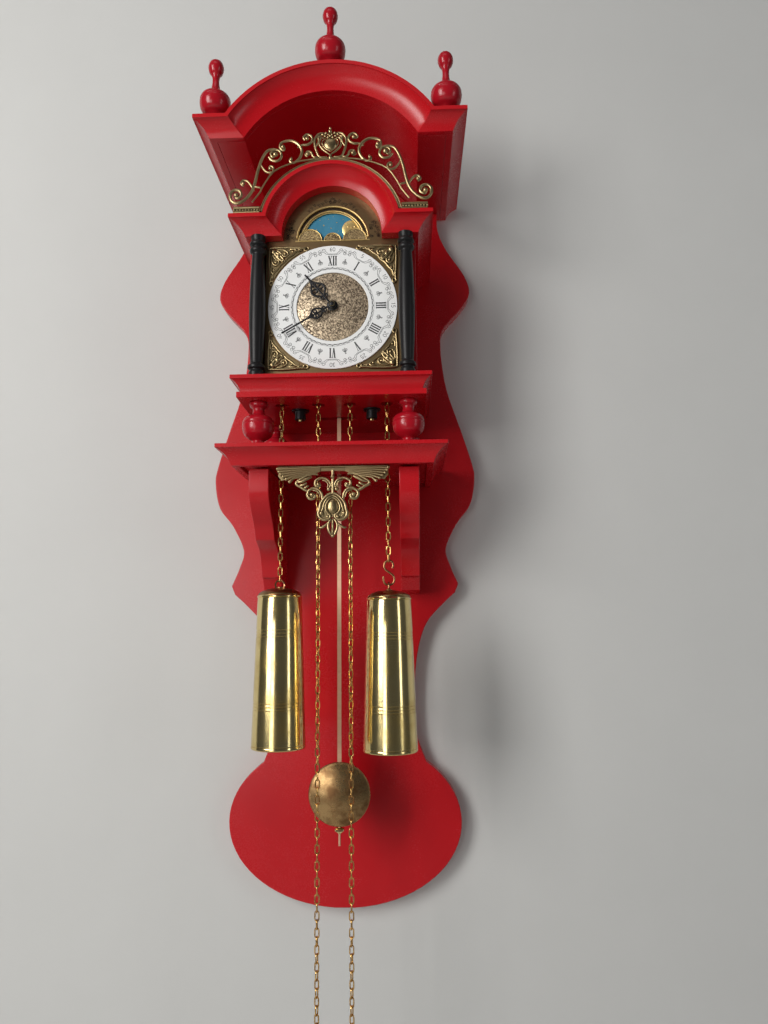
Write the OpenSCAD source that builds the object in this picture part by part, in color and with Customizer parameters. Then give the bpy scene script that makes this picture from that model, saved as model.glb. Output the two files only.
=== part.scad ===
// Wall clock of the bracket kind: a shaped backboard carries a roofed hood, a case with a
// arched brass dial, and a console below it. Two chains with brass weights drive the movement
// and a pendulum swings behind them.
// The front faces -Y, +X is the viewer's right, +Z is up. The wall is the plane Y = 0 and the
// origin is the centre of the hanging hole. Millimetres.

/* [Backboard] */
// Thickness of the backboard
board_t = 15; // [10:1:20]
// Width across the upper ears
ear_w = 266; // [220:2:340]
// Width at the waists between the ears
waist_w = 203; // [170:1:245]
// Width across the lower horns
horn_w = 228; // [180:2:280]
// Width of the neck above the bottom lobe
neck_w = 138; // [80:2:175]
// Width of the bottom lobe
lobe_w = 224; // [180:2:280]
// Height of the bottom lobe
lobe_h = 156; // [120:2:200]
// Height of the console's underside above the board's lowest point
console_z = 402; // [340:1:500]
// Radius of the hanging hole
hook_r = 4.5; // [3:0.5:6]

/* [Console] */
// Width over the top edge of the console moulding
console_w = 200; // [170:1:250]
// Depth from the wall to the moulding's top edge
console_d = 147; // [130:1:180]
// Height of the console moulding
console_h = 17.5; // [12:0.5:24]
// How far the console moulding spreads from bottom to top
console_spread = 12; // [6:0.5:15]
// Height of the turned legs
leg_h = 41; // [32:0.5:60]
// Largest radius of the turned legs
leg_r = 14; // [9:0.5:16]
// Sideways place of the legs and brackets
leg_x = 66.5; // [60:0.5:70]
// Width of a bracket
bracket_w = 18; // [12:1:22]
// Height of a bracket
bracket_h = 108; // [85:1:130]
// Reach of a bracket from the wall
bracket_d = 122; // [100:1:132]

/* [Case] */
// How far the seat moulding's top edge stands out beyond each side of the case
seat_over = 12.5; // [9:0.5:20]
// Depth from the wall to the seat moulding's top edge
seat_d = 150; // [148:1:180]
// Height of the seat moulding
seat_h = 14; // [10:0.5:20]
// How far the seat moulding spreads from bottom to top
seat_spread = 8; // [4:0.5:9]
// Thickness of the seat board
seat_t = 5; // [4:0.5:9]
// How much wider the case is than the dial, each side
case_margin = 14.25; // [12:0.25:18]
// Thickness of the case sides
side_t = 6; // [4:0.5:8]
// How much taller the columns are than the dial is wide
dial_head = 10.5; // [8:0.5:30]
// Largest radius of a column
col_r = 7.6; // [5:0.1:8]
// How far the cornice's top edge stands out beyond each side of the case
cornice_over = 16; // [14:0.5:22]
// Height of the case cornice
cornice_h = 15.5; // [12:0.5:20]
// How far the case cornice spreads from bottom to top
cornice_spread = 13; // [8:0.5:13]
// Inner radius of the arch over the dial
arch_r = 45; // [40:0.5:50]
// Width of the arch's moulding
arch_band = 17; // [12:0.5:20]

/* [Hood] */
// Gap between the case cornice and the hood's underside
hood_gap = 75.5; // [55:0.5:100]
// Inner radius of the hood's arch
hood_r = 92; // [84:1:112]
// How far the hood moulding's top edge reaches beyond the arch's inner radius, each side
hood_shoulder = 31; // [28:1:45]
// Depth from the wall to the hood moulding's top edge
hood_d = 163; // [155:1:200]
// Height of the hood's straight moulding
hood_h = 16; // [12:0.5:20]
// How far the hood moulding spreads from bottom to top
hood_spread = 12.5; // [8:0.5:14]
// Width of the hood arch's moulding
hood_band = 21; // [14:0.5:24]
// How far the centre of the hood's arch lies below its underside
hood_drop = 47.5; // [40:0.5:55]
// Height of a finial
finial_h = 60; // [40:1:80]
// Largest radius of a finial
finial_r = 14; // [9:0.5:16]

/* [Dial] */
// Width of the dial plate
dial_w = 121.5; // [110:0.5:150]
// Thickness of the dial plate
dial_t = 1.5; // [1:0.1:2]
// Distance of the dial's face from the wall
dial_y = 131; // [128:0.5:133]
// Brass that shows between the chapter ring and the plate's edge
ring_margin = 2.45; // [1:0.05:8]
// Inner radius of the chapter ring
ring_in = 32; // [24:0.5:36]
// Length of the minute hand from its centre
minute_l = 52; // [40:1:56]
// Length of the hour hand from its centre
hour_l = 38; // [28:1:42]

/* [Movement] */
// Distance between the movement's plates
plate_gap = 40; // [36:0.5:42]
// Thickness of the movement's plates
plate_t = 2; // [1.5:0.1:2.5]
// How much narrower the movement's plates are than the dial, each side
plate_margin = 2.25; // [1:0.25:5]
// Radius of an arbor
arbor_r = 1.5; // [1:0.1:2]
// Radius from a sprocket's centre to the chain's centreline
sprocket_r = 16.6; // [14:0.1:18]
// Radius of the bell
bell_r = 22; // [18:0.5:26]

/* [Weights and chains] */
// Height of a weight
weight_h = 128; // [90:1:160]
// Radius of a weight at its top
weight_top_r = 19; // [14:0.5:20]
// Radius of a weight at its bottom
weight_r = 23; // [18:0.5:25]
// Height of the left weight's rim above the board's lowest point
weight_z = 290; // [200:1:300]
// How much lower the right weight hangs
weight_lag = 3; // [0:0.5:10]
// Width of the chain
chain_w = 4.5; // [3:0.1:5]
// How far the free ends hang below the board
chain_tail = 250; // [100:5:400]
// Distance of the chains from the wall
chain_y = 116; // [114:0.5:118]

/* [Pendulum] */
// Length from the pivot to the centre of the bob
pendulum_l = 482; // [400:1:520]
// Radius of the bob
bob_r = 27.8; // [20:0.1:32]
// Thickness of the bob
bob_t = 11; // [6:0.5:16]
// Width of the pendulum rod
rod_w = 3.6; // [2:0.1:5]
// Distance of the pendulum from the wall
pendulum_y = 70; // [60:0.5:72]

/* [Hidden] */
$fn = 64;

gap = 0.3;             // clearance between neighbouring pieces
run_fit = 0.05;        // radial clearance of a turning fit
stock = 6;             // thickness of a moulding behind its profile
fascia = 3.6;          // height of the flat edge at the top of a moulding
top_w = 196;           // width of the backboard under the hood
arch_lift = 2;         // height of the dial arch's centre above the cornice's underside
vault_t = 5;           // thickness of the curved roofs
front_leg_y = 126;     // distance of the front legs from the wall
rear_leg_y = 42;       // and of the rear legs
pendant_w = 96;        // width of the mount below the console
pendant_h = 60;        // its height
pendant_y = 128;       // its back's distance from the wall
rail_t = 3;            // thickness of both mounts
line_w = 2.4;          // width of a scroll in both mounts
crest_out = 23;        // how far the cornice and the mount on it stand in front of the dial
minute_angle = 240;    // the hands stand at twenty to eleven
hour_angle = 320;
hand_t = 0.6;          // thickness of a hand
finial_in = 18;        // the outer finials' distance from the hood's edges
hook_h = 22;           // height of the open hook above the right weight
wire_r = 0.9;          // radius of the wire in hooks, loops and rings

// Widths that follow from the dial and the hood's arch
case_w = dial_w + 2*case_margin;
col_h = dial_w + dial_head;
seat_w = case_w + 2*seat_over;
cornice_w = case_w + 2*cornice_over;
cornice_d = dial_y + crest_out;
ring_r = dial_w/2 - ring_margin;
plate_w = dial_w - 2*plate_margin;
hood_w = 2*(hood_r + hood_shoulder);
hood_front = hood_d - hood_spread - stock;
hood_in = hood_w/2 - hood_spread - stock;
finial_x = hood_w/2 - finial_in;
crest_y = cornice_d - 1.5;

// Heights above the board's lowest point
console_top = console_z + console_h;
seat_under = console_top + leg_h;
seat_z = seat_under + seat_t;
seat_top = seat_z + seat_h;
cornice_z = seat_top + col_h;
cornice_top = cornice_z + cornice_h;
arch_c = cornice_z + arch_lift;
arch_out = arch_r + arch_band;
mitre_r = arch_r - 0.6;                    // where the case's mitres start, just inside its arch
soffit_z = cornice_top + hood_gap;
hood_top = soffit_z + hood_h;
hood_c = soffit_z - hood_drop;
hood_out = hood_r + hood_band;
hook_z = soffit_z - 12;

// The movement
dial_c = seat_top + dial_w/2 + 6.75;       // height of the dial's centre
dial_back = dial_y - dial_t;
front_y = dial_back - 5.5;                 // front face of the front plate
back_y = front_y - 2*plate_t - plate_gap;  // back face of the back plate
wheel_y = front_y - plate_t - 12;          // the great wheel's plane
sprocket_c = [2*sprocket_r - 2.4, dial_c - 32];
second_c = [22, dial_c - 1.4];
third_c = [10, dial_c + 15.1];
escape_c = [0, dial_c + 27.5];
anchor_z = dial_c + 50;
hammer_c = [38, dial_c + 43];
moon_z = cornice_z - 4.5;
moon_r = 34.5;
window_r = 31.5;                           // the opening in front of the moon disc
lobe_x = 20.5;                             // the two lobes that close off its lower corners
lobe_r = 11;
great_r = 27;
motion_r = 10.7;
plate_top = anchor_z + 9;
plate_z = seat_top - 2;
bell_z = plate_top + 8;
chain_in = sprocket_c[0] - sprocket_r;
chain_out = sprocket_c[0] + sprocket_r;
chain_top = sprocket_c[1] + 20;
slot_r = chain_w/2 + 3.5;                  // holes that the chains pass through
foot_x = 33;                               // the movement's two fixing studs
foot_y = 100;
swing = 3.5;                               // largest swing of the pendulum, degrees
slot_x = tan(swing)*(anchor_z - console_z) + rod_w/2 + 3;
bob_z = anchor_z - pendulum_l;

module at_wall() translate([0, 0, -hook_z]) children();

// A point list mirrored to the left and closed
function both(p) = concat(p, [for (i = [len(p) - 1 : -1 : 0]) [-p[i][0], p[i][1]]]);

// A smooth curve through the points of p, n steps to a span
function knot(p, i) = p[max(0, min(len(p) - 1, i))];
function spline(p, n = 5) = [for (i = [0 : len(p) - 2]) for (k = [0 : n - (i < len(p) - 2 ? 1 : 0)])
    let (t = k/n, a = knot(p, i - 1), b = p[i], c = p[i + 1], d = knot(p, i + 2))
    0.5*(2*b + (c - a)*t + (2*a - 5*b + 4*c - d)*t*t + (3*b - a - 3*c + d)*t*t*t)];

// The coved face of a moulding from its foot at [0, 0] to its flat edge
function cove(spread, h, n = 6) = let (rise = h - fascia, run = spread - 1) concat(
    [for (i = [0 : n]) let (t = i/n, sag = 0.12*h*sin(180*t)) [run*t - sag*0.75, rise*t + sag*0.6]],
    [[spread, rise], [spread, h]]);

// Turned work: p lists [radius, height] from the foot up
module turned(p, n = 4) rotate_extrude() polygon(concat([[0, p[0][1]]], spline(p, n),
    [[0, p[len(p) - 1][1]]]));

// A slab w wide and d deep at its top, with coved front and sides, its back at the wall
module crown(w, d, h, spread) intersection() {
    rotate([90, 0, 0]) linear_extrude(d) polygon(both([for (p = cove(spread, h))
        [w/2 - spread + p[0], p[1]]]));
    translate([-w/2, 0, 0]) rotate([90, 0, 90]) linear_extrude(w) polygon(concat([[0, 0]],
        [for (p = cove(spread, h)) [-(d - spread + p[0]), p[1]]], [[0, h]]));
}

// The moulding of an arch around the Y axis; its back is at the depth of the profile's foot
module arch_moulding(r, band, spread, back) rotate([90, 0, 0]) rotate_extrude() polygon(concat(
    [[r, -back], [r, 0]], [for (p = cove(spread, band)) [r + p[1], p[0]]], [[r + band, -back]]));

// Where an arch of radius r, centred h below a height, crosses that height
function reach(r, h) = sqrt(r*r - h*h);

// What lies between the two mitres that run from x0 at height z0 to x1 at z1
module between_mitres(x0, x1, z0, z1) let (lean = (x1 - x0)/(z1 - z0)) sheet(-1, 2*hood_d)
    polygon(both([[x1 + lean, z1 + 1], [x0 - lean, z0 - 1]]));

// What lies outside them, up to z1; it leaves the arch a trace of overlap
module beyond_mitres(x0, x1, z0, z1) let (lean = (x1 - x0)/(z1 - z0)) for (s = [-1, 1]) sheet(-1, 2*hood_d)
    polygon([[s*(x0 - lean + run_fit), z0 - 1], [s*(x1 + run_fit), z1], [s*2*x1, z1], [s*2*x1, z0 - 1]]);

// A box given by its corners
module block(a, b) translate(a) cube(b - a);

// A round bar or disc along Y, from depth y0 to depth y1 in front of the wall
module rod_y(r, y0, y1, x = 0, z = 0) translate([x, -y0, z]) rotate([90, 0, 0])
    cylinder(r = r, h = y1 - y0);

// A flat sheet in the XZ plane, from depth y0 to depth y1
module sheet(y0, y1) translate([0, -y0, 0]) rotate([90, 0, 0]) linear_extrude(y1 - y0) children();

// ---- Backboard ----
function board_side() = let (ear_z = cornice_z - 1, belly_z = console_z + 7, horn_z = console_z - 98,
    r = hood_r - gap, low = asin((hood_drop - gap)/r)) concat(
    [for (k = [0 : 12]) let (a = 90 - (90 - low)*k/12) [r*cos(a), hood_c + r*sin(a)]],
    spline([[top_w/2 + 3, soffit_z - gap], [top_w/2 + 3, soffit_z - 20], [top_w/2 + 12, soffit_z - 43],
        [ear_w/2 - 5, ear_z + 20], [ear_w/2, ear_z], [ear_w/2 - 9, ear_z - 17],
        [waist_w/2 + 3, ear_z - 40], [waist_w/2, cornice_z - 63], [waist_w/2 + 5, seat_top + 27],
        [waist_w/2 + 19, seat_z - 4], [ear_w/2 - 2, belly_z + 17], [ear_w/2, belly_z],
        [ear_w/2 - 5, belly_z - 25], [ear_w/2 - 19, belly_z - 44], [waist_w/2 + 1, horn_z + 36],
        [waist_w/2 + 5, horn_z + 18], [horn_w/2, horn_z]]),
    spline([[horn_w/2 - 3.5, horn_z - 8.5], [horn_w/2 - 16, horn_z - 20], [neck_w/2 + 13, horn_z - 38],
        [neck_w/2 + 4, horn_z - 64], [neck_w/2, horn_z - 100], [neck_w/2 + 1, lobe_h/2 + 84],
        [neck_w/2 + 5, lobe_h/2 + 68]]),
    [for (a = [45 : -5 : -85]) [lobe_w/2*cos(a), lobe_h/2 + lobe_h/2*sin(a)]]);
module backboard() color("firebrick") at_wall() difference() {
    sheet(0, board_t) polygon(both(board_side()));
    rod_y(hook_r, -1, board_t + 1, 0, hook_z);
}

// ---- Console ----
module chain_holes(z0, z1) for (s = [-1, 1], x = [chain_in, chain_out])
    translate([s*x, -chain_y, z0 - 1]) cylinder(r = slot_r, h = z1 - z0 + 2);
module pendulum_slot(z0, z1) block([-slot_x, -pendulum_y - 5, z0 - 1], [slot_x, -pendulum_y + 5, z1 + 1]);
module console_inside(grow) block([-console_w/2 + console_spread + stock - grow,
    -console_d + console_spread + stock - grow, console_z - 1],
    [console_w/2 - console_spread - stock + grow, 1, console_top + 1]);
module console_shelf() color("firebrick") at_wall() difference() {
    block([-console_w/2 + console_spread + stock + gap/3, -console_d + console_spread + stock + gap/3,
        console_z + 3], [console_w/2 - console_spread - stock - gap/3, -board_t - gap/3, console_top]);
    chain_holes(console_z, console_top);
    pendulum_slot(console_z, console_top);
}
module console_moulding() color("firebrick") at_wall() difference() {
    translate([0, 0, console_z]) crown(console_w, console_d, console_h, console_spread);
    console_inside(0);
    block([-ear_w, -board_t - gap/3, console_z - 1], [ear_w, 1, console_top + 1]);
}
module bracket(x) translate([x - bracket_w/2, 0, console_z - gap/3]) rotate([90, 0, 90])
    linear_extrude(bracket_w) polygon(concat([[-board_t - gap/3, 0]], [[-bracket_d, 0]],
    spline([[-bracket_d, -15], [-bracket_d + 3, -26], [-bracket_d + 14, -38], [-bracket_d + 26, -48],
        [-bracket_d + 34, -60]], 4),
    spline([[-bracket_d + 40, -62], [-bracket_d + 52, -68], [-bracket_d + 62, -79],
        [-bracket_d + 67, -92]], 4),
    [[-bracket_d + 71, -93], [-bracket_d + 80, -bracket_h + 3], [-board_t - gap/3, -bracket_h]]));
module bracket_left() color("firebrick") at_wall() bracket(-leg_x);
module bracket_right() color("firebrick") at_wall() bracket(leg_x);

// A squat baluster: neck, bulb with a fillet around it, and foot
module leg(x, y) translate([x, -y, console_top + gap/3]) turned([[leg_r*0.5, 0],
    [leg_r*0.52, 2], [leg_r*0.4, 4.5], [leg_r*0.42, leg_h*0.16], [leg_r*0.8, leg_h*0.25],
    [leg_r, leg_h*0.42], [leg_r*0.95, leg_h*0.53], [leg_r*0.6, leg_h*0.66], [leg_r*0.4, leg_h*0.76],
    [leg_r*0.4, leg_h*0.86], [leg_r*0.56, leg_h*0.94], [leg_r*0.56, leg_h - gap*2/3]]);
module leg_front_left() color("crimson") at_wall() leg(-leg_x, front_leg_y);
module leg_front_right() color("crimson") at_wall() leg(leg_x, front_leg_y);
module leg_rear_left() color("crimson") at_wall() leg(-leg_x, rear_leg_y);
module leg_rear_right() color("crimson") at_wall() leg(leg_x, rear_leg_y);

// ---- Pierced brass mounts ----
module ring2d(r, w, x, z) translate([x, z]) difference() { circle(r, $fn = 32); circle(r - w, $fn = 32); }
module bar2d(a, b, w) let (d = b - a) translate(a) rotate(atan2(d[1], d[0])) translate([0, -w/2])
    square([norm(d), w]);
module pendant_fretwork() color("goldenrod") at_wall() translate([0, 0, console_z]) {
    rod_y(11, pendant_y - 0.5, pendant_y + rail_t + 1, 0, -29);
    sheet(pendant_y, pendant_y + rail_t) union() {
        translate([-pendant_w/2, -5]) square([pendant_w, 4.9]);
        for (s = [-1, 1]) {
            bar2d([s*pendant_w*0.44, -4], [s*pendant_w*0.2, -9], 5);
            ring2d(9, line_w, s*21, -12);
            ring2d(8, line_w, s*9, -11);
            ring2d(6.5, line_w, s*16, -21);
        }
        for (s = [-1, 0, 1]) bar2d([0, -36], [s*7, -pendant_h + 11*abs(s) + 2], 5);
    }
}
module crest_fretwork() color("goldenrod") at_wall() sheet(crest_y - rail_t, crest_y) difference() {
    union() {
        for (s = [-1, 1]) {
            translate([s*(cornice_w/2 - 12) - 10, cornice_top + 0.1]) square([20, 6]);
            translate([0, arch_c]) for (k = [[18, 7], [30, 10], [42, 8], [55, 10], [68, 8], [76, 9]])
                rotate(90 - s*k[0]) ring2d(k[1], line_w, arch_out + 1.5 + k[1] + (k[1] > 8 ? 2 : 0), 0);
        }
        translate([0, arch_c]) difference() {
            circle(arch_out + 4);
            circle(arch_out + 0.3);
        }
        translate([0, arch_c + arch_out + 16]) circle(13);
        translate([0, arch_c + arch_out + 30]) circle(4);
    }
    translate([-cornice_w, cornice_top - 200]) square([2*cornice_w, 200 + 0.05]);
    translate([0, arch_c]) circle(arch_out + 0.3);
}

// ---- Case ----
module seat_board() color("firebrick") at_wall() difference() {
    block([-seat_w/2 + seat_spread - 3, -seat_d + seat_spread - 3, seat_under],
        [seat_w/2 - seat_spread + 3, -board_t - gap/3, seat_z - gap/3]);
    chain_holes(seat_under, seat_z);
    pendulum_slot(seat_under, seat_z);
    for (s = [-1, 1]) translate([s*foot_x, -foot_y, seat_under - 1]) cylinder(r = 2.3, h = seat_t + 2);
}
module seat_moulding() color("firebrick") at_wall() difference() {
    translate([0, 0, seat_z]) crown(seat_w, seat_d, seat_h, seat_spread);
    block([-case_w/2 + side_t, -dial_y + 3, seat_z - 1], [case_w/2 - side_t, 1, seat_top + 1]);
    block([-ear_w, -board_t - gap/3, seat_z - 1], [ear_w, 1, seat_top + 1]);
}
module case_side(s) block([s > 0 ? case_w/2 - side_t : -case_w/2, -dial_y, seat_top + gap/3],
    [s > 0 ? case_w/2 : -case_w/2 + side_t, -board_t - gap/3, cornice_z - gap/3]);
module case_side_left() color("firebrick") at_wall() case_side(-1);
module case_side_right() color("firebrick") at_wall() case_side(1);
module case_vault() color("firebrick") at_wall() sheet(board_t + gap/3, dial_y - gap) difference() {
    union() {
        translate([-case_w/2, cornice_z]) square([case_w, cornice_h]);
        translate([0, arch_c]) circle(arch_r + 3 + vault_t);
    }
    translate([0, arch_c]) circle(arch_r + 3);
    translate([-case_w, cornice_z - 200]) square([2*case_w, 200]);
    translate([-arch_r - 3, cornice_z - 1]) square([2*arch_r + 6, arch_lift + 1]);
}
module case_cornice() color("firebrick") at_wall() difference() {
    union() {
        difference() {
            translate([0, 0, cornice_z]) crown(cornice_w, cornice_d, cornice_h, cornice_spread);
            between_mitres(mitre_r, reach(arch_out, cornice_top - arch_c), cornice_z, cornice_top);
        }
        difference() {
            translate([0, -cornice_d + cornice_spread, arch_c])
                arch_moulding(arch_r, arch_band, cornice_spread, cornice_d - cornice_spread - dial_y);
            beyond_mitres(mitre_r, reach(arch_out, cornice_top - arch_c), cornice_z, cornice_top);
        }
    }
    block([-ear_w, -ear_w, cornice_z - 200], [ear_w, 1, cornice_z]);
    block([-case_w/2 - gap/3, -dial_y, cornice_z - 1], [case_w/2 + gap/3, 1, cornice_top + 200]);
    block([-ear_w, -board_t - gap/3, cornice_z - 1], [ear_w, 1, cornice_top + 1]);
    rod_y(arch_r, 0, 2*dial_y, 0, arch_c);
    block([-arch_r, -2*dial_y, cornice_z - 1], [arch_r, 0, arch_c]);
}

// A column with rings at both ends and a slight swelling
module column(s) translate([s*(dial_w/2 + col_r - 1.9), -dial_y - col_r - 0.4, seat_top + gap/3])
    turned([[col_r*0.92, 0], [col_r*0.95, 4], [col_r*0.8, 6.5], [col_r, 9], [col_r*0.8, 11.5],
    [col_r*0.72, 14], [col_r*0.95, col_h*0.4], [col_r*0.93, col_h*0.6], [col_r*0.68, col_h - 18],
    [col_r*0.75, col_h - 15], [col_r*0.98, col_h - 11.5], [col_r*0.75, col_h - 9],
    [col_r*0.98, col_h - 6], [col_r*0.8, col_h - 3], [col_r*0.85, col_h - gap*2/3]], 3);
module column_left() color("black") at_wall() column(-1);
module column_right() color("black") at_wall() column(1);

// ---- Hood ----
module hood_vault() color("firebrick") at_wall() sheet(0, hood_front - gap/3) difference() {
    union() {
        translate([-hood_in + gap/3, soffit_z]) square([2*hood_in - gap*2/3, hood_h]);
        translate([0, hood_c]) circle(hood_r + vault_t);
    }
    translate([0, hood_c]) circle(hood_r);
    translate([-hood_w, soffit_z - 400]) square([2*hood_w, 400]);
}
module hood_cornice() color("firebrick") at_wall() difference() {
    union() {
        difference() {
            translate([0, 0, soffit_z]) crown(hood_w, hood_d, hood_h, hood_spread);
            between_mitres(reach(hood_r, hood_drop), reach(hood_out, hood_top - hood_c), soffit_z, hood_top);
        }
        difference() {
            translate([0, -hood_d + hood_spread, hood_c])
                arch_moulding(hood_r, hood_band, hood_spread, stock);
            beyond_mitres(reach(hood_r, hood_drop), reach(hood_out, hood_top - hood_c), soffit_z, hood_top);
        }
    }
    block([-hood_w, -2*hood_d, soffit_z - 400], [hood_w, 1, soffit_z]);
    block([-hood_in, -hood_front, soffit_z - 1], [hood_in, 1, hood_top + 200]);
    rod_y(hood_r, 0, 2*hood_d, 0, hood_c);
}
module finial(x, z) translate([x, -hood_d + 10, z]) turned([[finial_r*0.5, 0], [finial_r*0.4, 3],
    [finial_r*0.5, finial_h*0.1], [finial_r*0.88, finial_h*0.18], [finial_r, finial_h*0.28],
    [finial_r*0.9, finial_h*0.38], [finial_r*0.5, finial_h*0.47], [finial_r*0.25, finial_h*0.56],
    [finial_r*0.24, finial_h*0.72], [finial_r*0.42, finial_h*0.79], [finial_r*0.5, finial_h*0.88],
    [finial_r*0.35, finial_h*0.97], [0.3, finial_h]], 3);
module finial_left() color("crimson") at_wall() finial(-finial_x, hood_top + gap/3);
module finial_right() color("crimson") at_wall() finial(finial_x, hood_top + gap/3);
module finial_centre() color("crimson") at_wall() finial(0, hood_c + hood_out + gap/3);

// ---- Dial ----
module aperture() difference() {
    translate([0, cornice_z]) circle(window_r);
    translate([-moon_r, cornice_z - 60]) square([2*moon_r, 60]);
    for (s = [-1, 1]) translate([s*lobe_x, cornice_z]) circle(lobe_r);
    translate([0, cornice_z - 1]) circle(8);
}
module dial_plate() color("darkgoldenrod") at_wall() {
    difference() {
        sheet(dial_back, dial_y) difference() {
            union() {
                translate([-dial_w/2, seat_top + gap]) square([dial_w, col_h - 2*gap]);
                translate([0, arch_c]) circle(arch_r + 2);
            }
            aperture();
        }
        rod_y(4, 0, 2*dial_y, 0, dial_c);
    }
    for (s = [-1, 1], z = [dial_c - 45, dial_c + 45]) rod_y(2.5, front_y + 0.1, dial_back + 0.2, s*52, z);
}
module chapter_ring() color("white") at_wall() sheet(dial_y + 0.05, dial_y + 1.25) difference() {
    translate([0, dial_c]) circle(ring_r, $fn = 96);
    translate([0, dial_c]) circle(ring_in + 0.2);
}
module dial_centre() color("sienna") at_wall() sheet(dial_y + 0.05, dial_y + 0.65) difference() {
    translate([0, dial_c]) circle(ring_in);
    translate([0, dial_c]) circle(4);
}
module spandrels() color("peru") at_wall() sheet(dial_y + 0.05, dial_y + 2) difference() {
    for (sx = [-1, 1], sz = [-1, 1]) translate([sx*(dial_w/2 - 15), dial_c + sz*(dial_w/2 - 15)])
        intersection() {
            square(26, center = true);
            rotate(45) square([60, 29], center = true);
        }
    translate([0, dial_c]) circle(ring_r + 0.6);
    for (s = [-1, 1]) translate([s*(dial_w - 2.5), dial_c]) square([dial_w, 2*dial_w], center = true);
}
module moon_disc() color("steelblue") at_wall() {
    sheet(dial_back - 2, dial_back - 0.6) difference() {
        translate([0, moon_z]) circle(moon_r);
        translate([0, moon_z]) circle(1.5);
    }
    difference() {
        rod_y(4, dial_back - 3.2, dial_back - 1.9, 0, moon_z);
        rod_y(1.5, dial_back - 4, dial_back, 0, moon_z);
    }
}

// ---- Hands ----
module at_dial(angle) translate([0, 0, dial_c]) rotate([0, angle, 0]) children();
module minute_hand() color("black") at_wall() at_dial(minute_angle) difference() {
    union() {
        rod_y(4, dial_y + 5.3, dial_y + 6.05);
        sheet(dial_y + 5.4, dial_y + 5.4 + hand_t) difference() {
            polygon([[-1.6, 0], [-1.2, minute_l*0.35], [-3, minute_l*0.5], [-0.9, minute_l*0.66],
                [0, minute_l], [0.9, minute_l*0.66], [3, minute_l*0.5], [1.2, minute_l*0.35], [1.6, 0]]);
            translate([0, minute_l*0.5]) circle(1.2);
        }
    }
    rod_y(1.2, 0, 2*dial_y);
}
module hour_hand() color("black") at_wall() at_dial(hour_angle) difference() {
    union() {
        rod_y(5.4, dial_y + 2.9, dial_y + 3.7);
        sheet(dial_y + 3, dial_y + 3 + hand_t) difference() {
            polygon([[-2, 0], [-1.6, hour_l*0.25], [-7.5, hour_l*0.45], [-2, hour_l*0.68], [0, hour_l],
                [2, hour_l*0.68], [7.5, hour_l*0.45], [1.6, hour_l*0.25], [2, 0]]);
            for (s = [-1, 1]) translate([s*3.2, hour_l*0.45]) circle(1.6);
        }
    }
    rod_y(3.4, 0, 2*dial_y);
}
module minute_arbor() color("goldenrod") at_wall() translate([0, 0, dial_c]) {
    rod_y(arbor_r, back_y, dial_y + 5);
    rod_y(1.2, dial_y + 4.9, dial_y + 7);
    rod_y(2.4, dial_y + 6.05, dial_y + 7.8);
    rod_y(motion_r, front_y + 0.5, front_y + 1.5);
}
module hour_pipe() color("goldenrod") at_wall() difference() {
    translate([0, 0, dial_c]) {
        rod_y(3.4, front_y + 2, dial_y + 4);
        rod_y(16, front_y + 2, front_y + 3);
    }
    rod_y(arbor_r + run_fit, 0, 2*dial_y, 0, dial_c);
}

// ---- Movement ----
module pivots() {
    for (p = [[0, dial_c], second_c, third_c, escape_c, [0, anchor_z], hammer_c, sprocket_c,
        [-sprocket_c[0], sprocket_c[1]]])
        rod_y(arbor_r + run_fit, back_y - 10, front_y + 10, p[0], p[1]);
}
module plate(y) difference() {
    block([-plate_w/2, -y, plate_z], [plate_w/2, -y + plate_t, plate_top]);
    pivots();
}
module front_plate() color("gold") at_wall() plate(front_y);
module back_plate() color("gold") at_wall() plate(back_y + plate_t);
module plate_pillars() color("goldenrod") at_wall() {
    for (s = [-1, 1]) {
        rod_y(3, back_y + plate_t + 0.05, front_y - plate_t - 0.05, s*(plate_w/2 - 4), plate_top - 5);
        rod_y(4, back_y + plate_t + 0.05, front_y - plate_t - 0.05, s*foot_x, plate_z + 5);
        translate([s*foot_x, -foot_y, seat_under - 11]) cylinder(r = 2, h = plate_z + 5 - seat_under + 11);
    }
}
module suspension_cock() color("goldenrod") at_wall() difference() {
    union() {
        block([-6, -back_y + 0.05, anchor_z + 4], [6, -pendulum_y + 7, anchor_z + 8]);
        for (y = [pendulum_y + 3.5, pendulum_y - 6])
            block([-6, -y - 2.5, anchor_z - 4], [6, -y, anchor_z + 4.1]);
    }
    rod_y(1.2 + run_fit, 0, back_y + 5, 0, anchor_z);
}
module bell() color("silver") at_wall() translate([0, -pendulum_y, bell_z]) difference() {
    rotate_extrude() polygon([[0, bell_r*0.86], [bell_r*0.6, bell_r*0.7], [bell_r*0.86, bell_r*0.42],
        [bell_r, 0], [bell_r - 1.6, 0], [bell_r*0.78, bell_r*0.38], [bell_r*0.52, bell_r*0.62],
        [0, bell_r*0.78]]);
    translate([0, 0, -1]) cylinder(r = 2.1, h = bell_r + 2);
}
module bell_stand() color("goldenrod") at_wall() translate([0, -pendulum_y, anchor_z + 8.05]) {
    cylinder(r = 2, h = bell_z - anchor_z - 8 + bell_r);
    translate([0, 0, bell_z - anchor_z - 8 + bell_r*0.86 + 0.3]) cylinder(r = 3.5, h = 3);
}

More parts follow.
